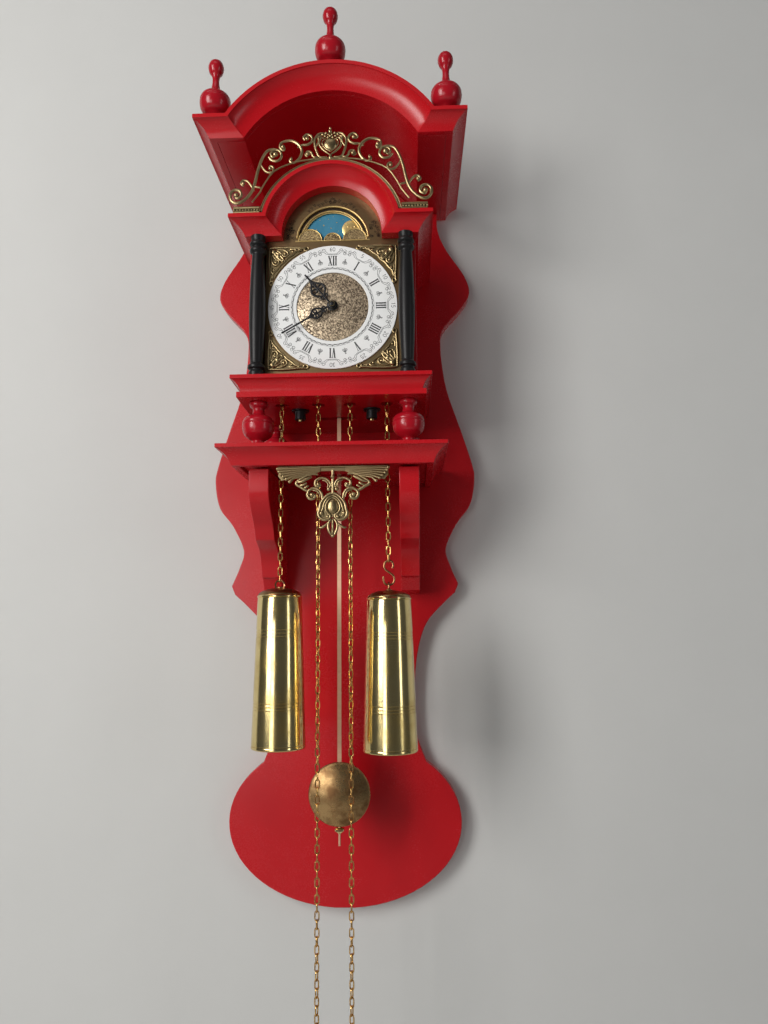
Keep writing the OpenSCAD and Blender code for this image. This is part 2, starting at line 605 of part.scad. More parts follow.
// A wheel on its own arbor, with a pinion
module wheel(c, r, y, pinion_r, pinion_y, from_y, to_y, spokes = 4) translate([c[0], 0, c[1]]) {
    rod_y(arbor_r, from_y, to_y);
    if (pinion_r > 0) rod_y(pinion_r, pinion_y - 2.5, pinion_y + 2.5);
    sheet(y - 0.7, y + 0.7) union() {
        difference() {
            circle(r);
            circle(r*0.8);
        }
        circle(max(4, r*0.22));
        for (k = [0 : spokes - 1]) rotate(k*360/spokes) translate([0, -1.2]) square([r*0.9, 2.4]);
    }
}
module great_wheel() color("gold") at_wall() difference() {
    translate([sprocket_c[0], 0, sprocket_c[1]]) sheet(wheel_y - 1, wheel_y + 1) union() {
        difference() {
            circle(great_r);
            circle(great_r*0.82);
        }
        circle(8);
        for (k = [0 : 5]) rotate(k*60) translate([0, -1.5]) square([great_r*0.9, 3]);
    }
    rod_y(arbor_r + run_fit, 0, 2*dial_y, sprocket_c[0], sprocket_c[1]);
}
module second_wheel() color("gold") at_wall() {
    wheel(second_c, 17, wheel_y - 8, 4.4, wheel_y, back_y, front_y + 1.5);
    rod_y(motion_r, front_y + 0.5, front_y + 1.5, second_c[0], second_c[1]);
}
module third_wheel() color("gold") at_wall()
    wheel(third_c, 13, wheel_y - 15, 2.8, wheel_y - 8, back_y, front_y - 0.5);
module escape_wheel() color("gold") at_wall()
    wheel(escape_c, 11, wheel_y - 20, 2.4, wheel_y - 15, back_y, front_y - 0.5, 5);
module anchor() color("dimgray") at_wall() translate([0, 0, anchor_z]) {
    rod_y(arbor_r, back_y - 2.4, front_y - 0.5);
    sheet(wheel_y - 21, wheel_y - 19) union() {
        circle(3);
        for (s = [-1, 1]) {
            bar2d([0, 0], [s*11, -11], 3);
            translate([s*11, -12.5]) square([2, 3], center = true);
        }
    }
    sheet(back_y - 1.6, back_y - 0.4) union() {
        circle(2.6);
        translate([-1.2, -38]) square([2.4, 38]);
        translate([-rod_w/2 - 2.2, -40]) square([rod_w + 4.4, 3]);
    }
    for (s = [-1, 1]) block([s*(rod_w/2 + 1.4) - 0.8, -back_y + 0.5, -40], [s*(rod_w/2 + 1.4) + 0.8,
        -pendulum_y + 2.5, -37]);
}
module sprocket(s) translate([s*sprocket_c[0], 0, sprocket_c[1]]) {
    rod_y(arbor_r, back_y, front_y);
    rod_y(sprocket_r - chain_w/2 - gap, chain_y - chain_w/2, chain_y + chain_w/2);
    for (y = [chain_y - chain_w/2 - 1.2, chain_y + chain_w/2]) rod_y(sprocket_r + 1.2, y, y + 1.2);
}
module time_sprocket() color("goldenrod") at_wall() sprocket(1);
module strike_sprocket() color("goldenrod") at_wall() sprocket(-1);
module hammer() color("silver") at_wall() {
    rod_y(arbor_r, back_y - 6, front_y - 0.5, hammer_c[0], hammer_c[1]);
    translate([hammer_c[0], 0, hammer_c[1]]) sheet(back_y - 6, back_y - 4) union() {
        circle(3);
        bar2d([0, 0], [bell_r + 6 - hammer_c[0], bell_z + 3 - hammer_c[1]], 2.4);
    }
    rod_y(4, back_y - 8, back_y - 2, bell_r + 6, bell_z + 3);
}

// ---- Pendulum ----
module pendulum_rod() color("goldenrod") at_wall() translate([0, -pendulum_y, 0]) {
    translate([0, 4.5, anchor_z]) rotate([90, 0, 0]) cylinder(r = 1.2, h = 9);
    block([-rod_w/2, -0.6, bob_z - bob_r + 1], [rod_w/2, 0.6, anchor_z + 3]);
    translate([0, 0, bob_z - bob_r - 16]) cylinder(r = 1, h = 18);
}
module pendulum_bob() color("gold") at_wall() translate([0, -pendulum_y, bob_z]) difference() {
    rotate([90, 0, 0]) rotate_extrude($fn = 96) polygon(concat(
        [for (a = [-60 : 10 : 60]) [bob_r - 1.5 + 1.5*cos(a), 1.2*sin(a)]],
        [for (k = [5 : -1 : 0]) [bob_r*k/6, bob_t/2 - (bob_t/2 - 1.4)*pow(k/6, 2)]],
        [for (k = [0 : 5]) [bob_r*k/6, -bob_t/2 + (bob_t/2 - 1.4)*pow(k/6, 2)]]));
    block([-rod_w/2 - 0.1, -0.7, -bob_r - 5], [rod_w/2 + 0.1, 0.7, bob_r + 5]);
    translate([0, 0, -bob_r - 5]) cylinder(r = 1.05, h = 10);
}
module rating_nut() color("goldenrod") at_wall() translate([0, -pendulum_y, bob_z - bob_r - 5.5])
difference() {
    rotate_extrude() polygon([[0, 0], [2, 0], [4.5, 2], [4.5, 4], [3, 5.2], [0, 5.2]]);
    translate([0, 0, -1]) cylinder(r = 1.05, h = 8);
}

// ---- Weights and chains ----
module weight(x, z) translate([x, -chain_y, z]) {
    rotate_extrude($fn = 96) polygon(concat([[0, -weight_h], [weight_r - 0.6, -weight_h],
        [weight_r, -weight_h + 0.8], [weight_top_r, -0.8]],
        [for (a = [0 : 15 : 90]) [(weight_top_r + 0.3)*cos(a), 6*sin(a)]]));
    // the loop that it hangs by
    translate([0, 0, 9]) rotate([90, 0, x > 0 ? 90 : 0]) rotate_extrude() translate([4, 0])
        circle(wire_r, $fn = 16);
}
module time_weight() color("gold") at_wall() weight(chain_out, weight_z - weight_lag);
module strike_weight() color("gold") at_wall() weight(-chain_out, weight_z);
module weight_hook() color("sienna") at_wall() translate([chain_out, -chain_y, weight_z - weight_lag + 14]) {
    translate([0, 0, hook_h*0.27]) rotate([90, 60, 0]) rotate_extrude(angle = 250) translate([5, 0])
        circle(wire_r, $fn = 16);
    translate([0, 0, hook_h*0.27 + 9]) rotate([90, 240, 0]) rotate_extrude(angle = 250) translate([3.9, 0])
        circle(wire_r, $fn = 16);
}
// A straight run of chain, as a slim bar of its outer size
module strand(x, z0, z1) translate([x, -chain_y, z0]) cylinder(r = chain_w/2 - 0.35, h = z1 - z0, $fn = 24);
module time_chain_loaded() color("gold") at_wall()
    strand(chain_out, weight_z - weight_lag + hook_h + 12, chain_top);
module free_strand(x) {
    strand(x, -chain_tail, chain_top);
    translate([x, -chain_y, -chain_tail - 6.6]) rotate([90, 0, 0]) rotate_extrude() translate([7, 0])
        circle(wire_r, $fn = 16);
}
module time_chain_free() color("gold") at_wall() free_strand(chain_in);
module strike_chain_loaded() color("gold") at_wall() strand(-chain_out, weight_z + 14.5, chain_top);
module strike_chain_free() color("gold") at_wall() free_strand(-chain_in);
module thumb_nuts() color("black") at_wall() for (s = [-1, 1])
    translate([s*foot_x, -foot_y, seat_under - gap/3]) difference() {
        union() {
            translate([0, 0, -1.2]) cylinder(r = 8, h = 1.2);
            translate([0, 0, -9]) cylinder(r = 5, h = 7.9);
        }
        translate([0, 0, -20]) cylinder(r = 2.05, h = 30);
    }

backboard();
console_shelf();
console_moulding();
bracket_left();
bracket_right();
leg_front_left();
leg_front_right();
leg_rear_left();
leg_rear_right();
pendant_fretwork();
seat_board();
seat_moulding();
case_side_left();
case_side_right();
case_vault();
case_cornice();
column_left();
column_right();
crest_fretwork();
hood_vault();
hood_cornice();
finial_left();
finial_right();
finial_centre();
dial_plate();
chapter_ring();
dial_centre();
spandrels();
moon_disc();
minute_hand();
hour_hand();
minute_arbor();
hour_pipe();
front_plate();
back_plate();
plate_pillars();
suspension_cock();
bell();
bell_stand();
great_wheel();
second_wheel();
third_wheel();
escape_wheel();
anchor();
time_sprocket();
strike_sprocket();
hammer();
pendulum_rod();
pendulum_bob();
rating_nut();
time_weight();
strike_weight();
weight_hook();
time_chain_loaded();
time_chain_free();
strike_chain_loaded();
strike_chain_free();
thumb_nuts();
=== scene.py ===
import math
import random

import bmesh
import bpy
import numpy as np
from mathutils import Matrix, Vector


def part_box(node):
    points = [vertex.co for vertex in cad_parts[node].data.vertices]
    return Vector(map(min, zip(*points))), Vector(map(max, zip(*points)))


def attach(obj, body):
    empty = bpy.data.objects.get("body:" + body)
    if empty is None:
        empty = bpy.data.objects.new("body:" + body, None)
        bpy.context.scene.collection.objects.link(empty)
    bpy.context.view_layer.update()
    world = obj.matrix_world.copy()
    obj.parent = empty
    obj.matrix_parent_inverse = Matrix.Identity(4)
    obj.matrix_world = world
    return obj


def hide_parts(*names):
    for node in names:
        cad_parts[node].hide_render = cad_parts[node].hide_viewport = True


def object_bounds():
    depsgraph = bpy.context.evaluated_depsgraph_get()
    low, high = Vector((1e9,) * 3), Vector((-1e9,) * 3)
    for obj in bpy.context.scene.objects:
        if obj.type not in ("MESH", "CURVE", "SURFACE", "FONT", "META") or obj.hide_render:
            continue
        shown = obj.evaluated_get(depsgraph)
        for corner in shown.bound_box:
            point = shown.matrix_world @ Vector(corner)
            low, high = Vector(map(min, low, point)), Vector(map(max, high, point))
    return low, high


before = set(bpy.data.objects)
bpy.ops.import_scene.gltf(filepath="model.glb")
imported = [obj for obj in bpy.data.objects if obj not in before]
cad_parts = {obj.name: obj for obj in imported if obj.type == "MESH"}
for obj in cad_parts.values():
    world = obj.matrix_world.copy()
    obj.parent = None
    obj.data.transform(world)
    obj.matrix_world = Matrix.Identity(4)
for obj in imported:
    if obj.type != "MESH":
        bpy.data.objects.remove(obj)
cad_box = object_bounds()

# Shapes are worked out in millimetres in the frame's axes: the origin is the hanging hole, the wall is
# y = 0, the clock faces -y and z points up. A Shape turns them into metres when it becomes a piece.
MM = 0.001
TAU = 2 * math.pi


class Span:
    """The box of a CAD node, in millimetres."""

    def __init__(self, node):
        low, high = (tuple(v / MM for v in corner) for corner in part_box(node))
        self.x0, self.y0, self.z0 = low
        self.x1, self.y1, self.z1 = high
        self.x, self.y, self.z = ((a + b) / 2 for a, b in zip(low, high))
        self.w, self.d, self.h = (b - a for a, b in zip(low, high))


BOARD = Span("backboard")
DIAL = Span("dial_plate")
RING = Span("chapter_ring")
CORNICE = Span("case_cornice")
WEIGHT_H, WEIGHT_TOP = 128, 19   # height of a weight's cylinder, and its radius at the top
LOBE_OUT = 20.5                  # the moon window's outer lobes, from its middle
LOBES = ((-1, 11, 0), (1, 11, 0), (0, 8, 1))   # side, radius and drop of each lobe


# ---- Camera, lights and stage ----
def make_camera():
    """A near view from a little right of the middle, level with the weights, looking up and left."""
    away, right, above_foot = 765, 65.6, 264.5
    pitch, yaw, roll = (math.radians(a) for a in (8.54, 1.92, -0.57))
    data = bpy.data.cameras.new("camera")
    data.sensor_width = 36
    data.lens = 26.244
    data.clip_start = 0.01
    ahead = Vector((-math.sin(yaw) * math.cos(pitch), math.cos(yaw) * math.cos(pitch), math.sin(pitch)))
    level = Vector((math.cos(yaw), math.sin(yaw), 0))
    rise = level.cross(ahead)
    side = level * math.cos(roll) + rise * math.sin(roll)
    top = rise * math.cos(roll) - level * math.sin(roll)
    camera = bpy.data.objects.new("camera", data)
    bpy.context.scene.collection.objects.link(camera)
    turn = Matrix((side, top, -ahead)).transposed().to_4x4()
    camera.matrix_world = Matrix.Translation(Vector((right, -away, BOARD.z0 + above_foot)) * MM) @ turn
    bpy.context.scene.camera = camera


def area_light(name, place, aim, size, watts, colour=(1, 1, 1)):
    data = bpy.data.lights.new(name, "AREA")
    data.shape = "RECTANGLE"
    data.size, data.size_y = size
    data.energy = watts
    data.color = colour
    light = bpy.data.objects.new(name, data)
    light.location = place
    light.rotation_euler = (Vector(aim) - Vector(place)).to_track_quat("-Z", "Y").to_euler()
    bpy.context.scene.collection.objects.link(light)


def make_lights():
    """A wide window to the left, with weak light from the other sides of a dim room."""
    middle = (0, -0.08, (BOARD.z0 + BOARD.z1) / 2 * MM)
    area_light("window_left", (-1.1, -1.45, 0.1), middle, (0.6, 1.2), 25.5, (1, 0.985, 0.965))
    area_light("glow_left", (-0.75, -2.1, -0.5), middle, (0.5, 0.9), 5, (1, 0.985, 0.97))
    area_light("fill_right", (1.5, -1.2, -0.1), middle, (0.25, 1.2), 3, (0.96, 0.98, 1))
    area_light("overhead", (-0.2, -1.0, 1.2), middle, (0.9, 0.5), 1.6)
    area_light("behind", (0.3, 1.5, 0.3), middle, (1.4, 1.4), 8)
    world = bpy.data.worlds.new("dim_room")
    world.use_nodes = True
    backdrop = world.node_tree.nodes["Background"]
    backdrop.inputs["Color"].default_value = (0.9, 0.93, 1, 1)
    backdrop.inputs["Strength"].default_value = 0.078
    bpy.context.scene.world = world
    bpy.context.scene.view_settings.view_transform = "Standard"


# ---- Materials ----
class Wire:
    """A value in a material's nodes; arithmetic on it adds the nodes that work it out."""

    def __init__(self, finish, socket):
        self.finish = finish
        self.socket = socket

    def math(self, operation, *others):
        values = {i + 1: o for i, o in enumerate(others)}
        return self.finish.node("ShaderNodeMath", {"operation": operation}, {0: self, **values})

    def __add__(self, other):
        return self.math("ADD", other)

    def __mul__(self, other):
        return self.math("MULTIPLY", other)

    def __sub__(self, other):
        return self.math("SUBTRACT", other)

    def __rsub__(self, other):
        return self * -1 + other

    def __gt__(self, other):
        return self.math("GREATER_THAN", other)

    __radd__ = __add__
    __rmul__ = __mul__

    def clamp(self):
        return self.finish.node("ShaderNodeClamp", {}, {0: self})

    def between(self, low, high):
        """0 below low, 1 above high, smooth between them."""
        settings = {"interpolation_type": "SMOOTHSTEP"}
        return self.finish.node("ShaderNodeMapRange", settings, {0: self, 1: low, 2: high})


class Finish:
    """One material, built round a Principled shader."""

    def __init__(self, name, **uniform):
        self.material = bpy.data.materials.new(name)
        self.material.use_nodes = True
        self.tree = self.material.node_tree
        self.shader = self.tree.nodes["Principled BSDF"]
        for key, value in uniform.items():
            self.set(key, value)

    def plug(self, socket, value):
        if isinstance(value, Wire):
            self.tree.links.new(value.socket, socket)
        elif socket.type == "RGBA":
            socket.default_value = (*value[:3], 1)
        else:
            socket.default_value = value

    def set(self, key, value):
        name = key.replace("_", " ").title().replace("Ior", "IOR")
        self.plug(self.shader.inputs[name], value)

    def node(self, kind, settings, values, out=0):
        """Adds a node: settings first, then the values or wires of its inputs."""
        made = self.tree.nodes.new(kind)
        for key, value in settings.items():
            setattr(made, key, value)
        for key, value in values.items():
            self.plug(made.inputs[key], value)
        return Wire(self, made.outputs[out])

    def place(self, x=1, y=1, z=1):
        """Object coordinates in millimetres, stretched along each axis."""
        where = self.node("ShaderNodeTexCoord", {}, {}, "Object")
        values = {0: where, 1: (x / MM, y / MM, z / MM)}
        return self.node("ShaderNodeVectorMath", {"operation": "MULTIPLY"}, values)

    def noise(self, size, detail=4, rough=0.55, stretch=(1, 1, 1)):
        """Cloudy values from 0 to 1, with lumps about size millimetres wide."""
        where = self.place(*stretch)
        values = {"Vector": where, "Scale": 1 / size, "Detail": detail, "Roughness": rough}
        return self.node("ShaderNodeTexNoise", {}, values)

    def mix(self, share, a, b):
        """The colour a where share is 0 and b where it is 1."""
        return self.node("ShaderNodeMix", {"data_type": "RGBA"}, {0: share, 6: a, 7: b}, 2)

    def hollows(self, reach):
        """Near 1 deep in a crease and 0 in the open, feeling reach millimetres around."""
        values = {"Distance": reach * MM}
        return 1 - self.node("ShaderNodeAmbientOcclusion", {"samples": 8}, values, "AO")

    def edges(self):
        """Above a half on convex edges, below it in creases."""
        return self.node("ShaderNodeNewGeometry", {}, {}, "Pointiness")

    def bump(self, height, depth, strength=1):
        values = {"Height": height, "Distance": depth * MM, "Strength": strength}
        self.set("normal", self.node("ShaderNodeBump", {}, values))


def red_paint(name, shade, gloss):
    """Sprayed red paint over wood: slight orange peel, faint grain, and a painted highlight that lightens the
    convex edges.
    """
    f = Finish(name, specular_ior_level=0.38)
    clouds = f.noise(60, 3)
    peel = f.noise(1.1, 2)
    grain = f.noise(9, 4, 0.6, (1, 1, 0.08))
    base = f.mix(clouds, tuple(0.86 * c for c in shade), tuple(1.1 * c for c in shade))
    # Painted highlight: convex edges, found by pointiness and broken up by noise, are lightened towards a
    # paler red.
    painted_edge_highlight = (f.edges().between(0.53, 0.62) * f.noise(4, 3).between(0.35, 0.7)) * 0.35
    f.set("base_color", f.mix(painted_edge_highlight, base, (shade[0] * 1.25, shade[1] * 3, shade[2] * 3)))
    f.set("roughness", clouds * 0.08 + peel * 0.05 + gloss)
    f.bump(peel * 0.35 + grain * 0.65, 0.09, 0.5)
    return f.material


def clouded(name, cloud, a, b, rough, spread, relief=None, **uniform):
    """A plain finish: one cloudy pattern moves its colour from a to b, its roughness and its relief."""
    f = Finish(name, **uniform)
    share = f.noise(*cloud)
    f.set("base_color", f.mix(share, a, b))
    f.set("roughness", share * spread + rough)
    if relief:
        f.bump(share, *relief)
    return f.material


def polished_brass():
    """Spun brass: bright, with faint upright wiping marks, small dark spots and a warm tarnish."""
    f = Finish("polished_brass", metallic=1)
    wiped = f.noise(5, 4, 0.6, (1, 1, 0.12))
    tarnish = f.noise(26, 5, 0.6).between(0.42, 0.72)
    spots = (f.noise(2.2, 3, 0.6) > 0.68) * f.noise(20, 2).between(0.5, 0.6)
    warm = f.mix(tarnish, (0.82, 0.66, 0.31), (0.62, 0.45, 0.16))
    f.set("base_color", f.mix(spots * 0.6, warm, (0.2, 0.12, 0.04)))
    f.set("roughness", wiped * 0.1 + tarnish * 0.1 + 0.1)
    f.bump(wiped, 0.03, 0.35)
    return f.material


def tarnished_brass():
    """Dull old brass with brown clouds, left unpolished."""
    f = Finish("tarnished_brass", metallic=1)
    clouds = f.noise(13, 5, 0.65).between(0.36, 0.66)
    marks = f.noise(2, 4, 0.65)
    old = f.mix(marks, (0.40, 0.25, 0.11), (0.50, 0.33, 0.15))
    f.set("base_color", f.mix(clouds, old, (0.2, 0.105, 0.045)))
    f.set("roughness", clouds * 0.12 + marks * 0.1 + 0.2)
    f.bump(marks, 0.03, 0.5)
    return f.material


def antique_brass():
    """Cast brass worn bright on its high parts, with painted shade darkening its hollows to a deep brown."""
    f = Finish("antique_brass", metallic=1)
    high = f.edges().between(0.44, 0.56)
    # Painted shade: an occlusion mask darkens the colour in creases and hollows, where shade falls.
    painted_hollow_shade = f.hollows(3).between(0.25, 0.85)
    speckle = f.noise(0.9, 4, 0.7)
    bright = f.mix(speckle, (0.52, 0.40, 0.21), (0.28, 0.20, 0.10))
    aged = f.mix(high, (0.12, 0.078, 0.032), bright)
    f.set("base_color", f.mix(painted_hollow_shade, aged, (0.035, 0.022, 0.010)))
    f.set("roughness", speckle * 0.22 + painted_hollow_shade * 0.2 + 0.2)
    f.bump(speckle, 0.12, 0.6)
    return f.material


def dial_brass():
    """Satin sheet brass, brushed sideways, with a faint matted ground."""
    f = Finish("dial_brass", metallic=1)
    brushed = f.noise(1.6, 4, 0.7, (0.05, 1, 1))
    mottle = f.noise(14, 4, 0.6)
    f.set("base_color", f.mix(brushed * 0.6 + mottle * 0.4, (0.19, 0.12, 0.055), (0.34, 0.225, 0.115)))
    f.set("roughness", brushed * 0.15 + 0.32)
    f.bump(brushed, 0.05, 0.5)
    return f.material


def matted_brass(name, dark, light, size):
    """Brass engraved all over with fine worm-like curls, their hollows left dark."""
    f = Finish(name, metallic=0.55)
    curls = f.noise(size, 2, 0.6)
    worms = ((curls - 0.5).math("ABSOLUTE") * 10).between(0.12, 0.5)
    sparkle = f.noise(size * 0.6, 3, 0.6).between(0.3, 0.62)
    share = worms * sparkle * 0.85 + f.noise(16, 3).between(0.4, 0.7) * 0.25
    f.set("base_color", f.mix(share.clamp(), dark, light))
    f.set("roughness", (1 - worms) * 0.2 + 0.48)
    f.bump(worms, 0.3, 0.8)
    return f.material


def enamel_white():
    f = Finish("enamel_white", coat_weight=0.2, coat_roughness=0.2)
    cloud = f.noise(30, 3)
    f.set("base_color", f.mix(cloud, (0.80, 0.81, 0.80), (0.90, 0.90, 0.88)))
    f.set("roughness", cloud * 0.1 + 0.34)
    f.bump(f.noise(0.8, 2), 0.02, 0.3)
    return f.material


def wire_brass(name, light, dark):
    """Drawn wire: bright, with darker joints."""
    f = Finish(name, metallic=1)
    dirt = f.noise(2.5, 3, 0.6)
    f.set("base_color", f.mix(dirt.between(0.35, 0.75), light, dark))
    f.set("roughness", dirt * 0.18 + 0.16)
    f.bump(f.noise(0.5, 2), 0.02, 0.4)
    return f.material


def machined(name, light, dark, rough):
    """Sheet or bar metal with lathe marks, used for the movement."""
    return clouded(name, (3, 4, 0.6, (0.2, 1, 1)), light, dark, rough, 0.12, (0.03, 0.4), metallic=1)


def plaster(name, shade, see_through_back):
    """Pale matt plaster; the wall doesn't hide the clock from behind."""
    f = Finish(name)
    cloud = f.noise(140, 5, 0.6)
    f.set("base_color", f.mix(cloud, tuple(0.93 * c for c in shade), shade))
    f.set("roughness", cloud * 0.1 + 0.8)
    f.bump(f.noise(9, 5, 0.7), 0.35, 0.35)
    if see_through_back:
        back = f.node("ShaderNodeNewGeometry", {}, {}, "Backfacing")
        clear = f.node("ShaderNodeBsdfTransparent", {}, {})
        surface = Wire(f, f.shader.outputs[0])
        both = f.node("ShaderNodeMixShader", {}, {0: back, 1: surface, 2: clear})
        f.plug(f.tree.nodes["Material Output"].inputs["Surface"], both)
    return f.material


RED = red_paint("red_paint", (0.50, 0.006, 0.011), 0.2)
RED_TURNED = red_paint("red_turned", (0.40, 0.007, 0.016), 0.15)
EBONY = clouded("ebony", (2.4, 5, 0.65, (1, 1, 0.06)), (0.004, 0.004, 0.005), (0.016, 0.015, 0.015), 0.3,
                0.15, (0.12, 0.5), specular_ior_level=0.26)
POLISHED = polished_brass()
ANTIQUE = antique_brass()
DIAL_BRASS = dial_brass()
MATTING = matted_brass("dial_matting", (0.07, 0.045, 0.028), (0.80, 0.64, 0.44), 2.6)
ENGRAVED = matted_brass("engraved_brass", (0.09, 0.055, 0.025), (0.62, 0.46, 0.22), 1.8)
WHITE = enamel_white()
INK = clouded("black_ink", (0.8, 3), (0.008, 0.008, 0.009), (0.05, 0.05, 0.052), 0.4, 0.15)
SKY = clouded("sky_blue", (7, 4, 0.6, (1, 1, 0.4)), (0.025, 0.16, 0.26), (0.05, 0.25, 0.38), 0.35, 0.2,
              (0.03, 0.4))
GOLD = clouded("leaf_gold", (1.6, 4, 0.6), (0.62, 0.43, 0.15), (0.86, 0.66, 0.30), 0.28, 0.2, (0.05, 0.5),
               metallic=0.9)
CHAIN = wire_brass("chain_brass", (0.80, 0.50, 0.17), (0.34, 0.17, 0.05))
COPPER = wire_brass("copper_wire", (0.50, 0.24, 0.11), (0.20, 0.09, 0.04))
MOVEMENT = machined("movement_brass", (0.80, 0.62, 0.30), (0.62, 0.46, 0.20), 0.24)
STEEL = machined("steel", (0.58, 0.58, 0.60), (0.40, 0.40, 0.42), 0.28)
BLACK_STEEL = clouded("black_steel", (1.2, 3), (0.006, 0.006, 0.007), (0.03, 0.03, 0.032), 0.32, 0.2,
                      (0.03, 0.4), metallic=0.6)
ETCHED = matted_brass("etched_lines", (0.02, 0.014, 0.009), (0.07, 0.045, 0.025), 1.2)
BOB = tarnished_brass()
ROD = machined("drawn_brass", (0.90, 0.60, 0.42), (0.74, 0.46, 0.29), 0.42)


# ---- Shape building ----
def smooth_path(points, steps=6, closed=False):
    """A Catmull-Rom curve through the points."""
    p = [np.array(q, float) for q in points]
    n = len(p)
    curve = []
    for i in range(n if closed else n - 1):
        if closed:
            a, b, c, d = (p[(i + k) % n] for k in (-1, 0, 1, 2))
        else:
            a, b, c, d = p[max(i - 1, 0)], p[i], p[i + 1], p[min(i + 2, n - 1)]
        for k in range(steps):
            t = k / steps
            curve.append(0.5 * (2 * b + (c - a) * t + (2 * a - 5 * b + 4 * c - d) * t**2
                                + (3 * b - a - 3 * c + d) * t**3))
    if not closed:
        curve.append(p[-1])
    return curve


def round_at(radius, degrees):
    """The point (across, up) of a circle round the origin at an angle from the right, in degrees."""
    return radius * math.cos(math.radians(degrees)), radius * math.sin(math.radians(degrees))


def spiral(start, end, turn_from, turn_to, steps):
    """Points in the xz plane from radius start to end while the angle goes round, in degrees."""
    return [round_at(start + (end - start) * k / steps, turn_from + (turn_to - turn_from) * k / steps)
            for k in range(steps + 1)]


class Shape:
    """Vertices and faces in millimetres that become one piece."""

    def __init__(self):
        self.verts = []
        self.faces = []

    def add(self, verts, faces):
        base = len(self.verts)
        self.verts.extend(tuple(float(c) for c in v) for v in verts)
        self.faces.extend(tuple(base + i for i in f) for f in faces)
        return self

    def join(self, other, x=1, z=1):
        """Adds another shape, mirrored where x or z is -1."""
        return self.add([(v[0] * x, v[1], v[2] * z) for v in other.verts], other.faces)

    def moved(self, x=0, y=0, z=0, turn=0):
        """A copy turned clockwise as seen from the front, in degrees, then moved."""
        c, s = math.cos(math.radians(turn)), math.sin(math.radians(turn))
        copy = Shape()
        return copy.add([(v[0] * c + v[2] * s + x, v[1] + y, -v[0] * s + v[2] * c + z) for v in self.verts],
                        self.faces)

    def lathe(self, profile, centre=(0, 0, 0), steps=64):
        """Turned about an upright line; profile lists (radius, height), closed at the axis."""
        rings = [(r, z) for r, z in profile if r > 1e-6]
        verts = [(centre[0] + r * math.cos(TAU * k / steps), centre[1] + r * math.sin(TAU * k / steps),
                  centre[2] + z) for r, z in rings for k in range(steps)]
        faces = [(i * steps + k, i * steps + (k + 1) % steps, (i + 1) * steps + (k + 1) % steps,
                  (i + 1) * steps + k) for i in range(len(rings) - 1) for k in range(steps)]
        foot, head = len(verts), len(verts) + 1
        verts += [(centre[0], centre[1], centre[2] + profile[0][1]),
                  (centre[0], centre[1], centre[2] + profile[-1][1])]
        top = (len(rings) - 1) * steps
        faces += [(foot, (k + 1) % steps, k) for k in range(steps)]
        faces += [(head, top + k, top + (k + 1) % steps) for k in range(steps)]
        return self.add(verts, faces)

    def dish(self, profile, centre, steps=64):
        """Turned about a line along y; profile lists (radius, y)."""
        turned = Shape().lathe([(r, -y) for r, y in profile], (0, 0, 0), steps)
        return self.add([(centre[0] + v[0], centre[1] - v[2], centre[2] + v[1]) for v in turned.verts],
                        turned.faces)

    def tube(self, path, radius, sides=8, closed=False, flat=1.0, taper=0.0):
        """A rod along a path; flat squashes it along y, taper thins its ends."""
        p = [Vector(q) for q in path]
        n = len(p)
        verts = []
        across = None
        for i in range(n):
            ahead = (p[(i + 1) % n] - p[i - 1]) if closed else (p[min(i + 1, n - 1)] - p[max(i - 1, 0)])
            ahead.normalize()
            if across is None:
                across = ahead.orthogonal().normalized()
            across = (across - ahead * across.dot(ahead)).normalized()
            up = ahead.cross(across)
            t = i / max(n - 1, 1)
            r = radius(t) if callable(radius) else radius
            r *= 1 - taper * (abs(2 * t - 1) ** 3)
            for k in range(sides):
                a = TAU * k / sides
                off = across * (r * math.cos(a)) + up * (r * math.sin(a))
                verts.append((p[i][0] + off[0], p[i][1] + off[1] * flat, p[i][2] + off[2]))
        last = n if closed else n - 1
        faces = [(i * sides + k, i * sides + (k + 1) % sides, ((i + 1) % n) * sides + (k + 1) % sides,
                  ((i + 1) % n) * sides + k) for i in range(last) for k in range(sides)]
        if not closed:
            faces += [tuple(range(sides)), tuple((n - 1) * sides + k for k in range(sides))]
        return self.add(verts, faces)

    def vine(self, points, y, radius, flat=0.8, taper=0.55, steps=5, sides=8):
        """A cast scroll in the xz plane through the points."""
        path = [(q[0], y, q[1]) for q in smooth_path(points, steps)]
        return self.tube(path, radius, sides, False, flat, taper)

    def ball(self, centre, radius, flat=1.0, steps=12):
        """A rounded button; flat squashes it along y."""
        profile = [(radius * math.sin(math.pi * k / 8), -radius * flat * math.cos(math.pi * k / 8))
                   for k in range(9)]
        return self.dish(profile, centre, steps)

    def slab(self, outline, back, front, holes=()):
        """A flat sheet with an outline in xz, between two depths (y of the back and of the front)."""
        made = bmesh.new()
        for loop in (outline, *holes):
            ring = [made.verts.new((q[0], front, q[1])) for q in loop]
            for a, b in zip(ring, ring[1:] + ring[:1]):
                made.edges.new((a, b))
        bmesh.ops.triangle_fill(made, use_beauty=True, use_dissolve=False, edges=made.edges[:])
        raised = bmesh.ops.extrude_face_region(made, geom=made.faces[:])
        for v in (g for g in raised["geom"] if isinstance(g, bmesh.types.BMVert)):
            v.co.y = back
        self.take(made)
        return self

    def take(self, made):
        made.verts.index_update()
        self.add([v.co[:] for v in made.verts], [[v.index for v in f.verts] for f in made.faces])
        made.free()

    def piece(self, name, body, material, replaces=(), slot=None, sharp=35):
        """Makes the Blender object, on its body."""
        mesh = bpy.data.meshes.new(name)
        mesh.from_pydata([tuple(c * MM for c in v) for v in self.verts], [], self.faces)
        made = bmesh.new()
        made.from_mesh(mesh)
        bmesh.ops.recalc_face_normals(made, faces=made.faces[:])
        made.to_mesh(mesh)
        made.free()
        finish_mesh(mesh, sharp)
        thing = object_of(name, mesh, material)
        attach(thing, body)
        if replaces:
            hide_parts(*replaces)
        return thing


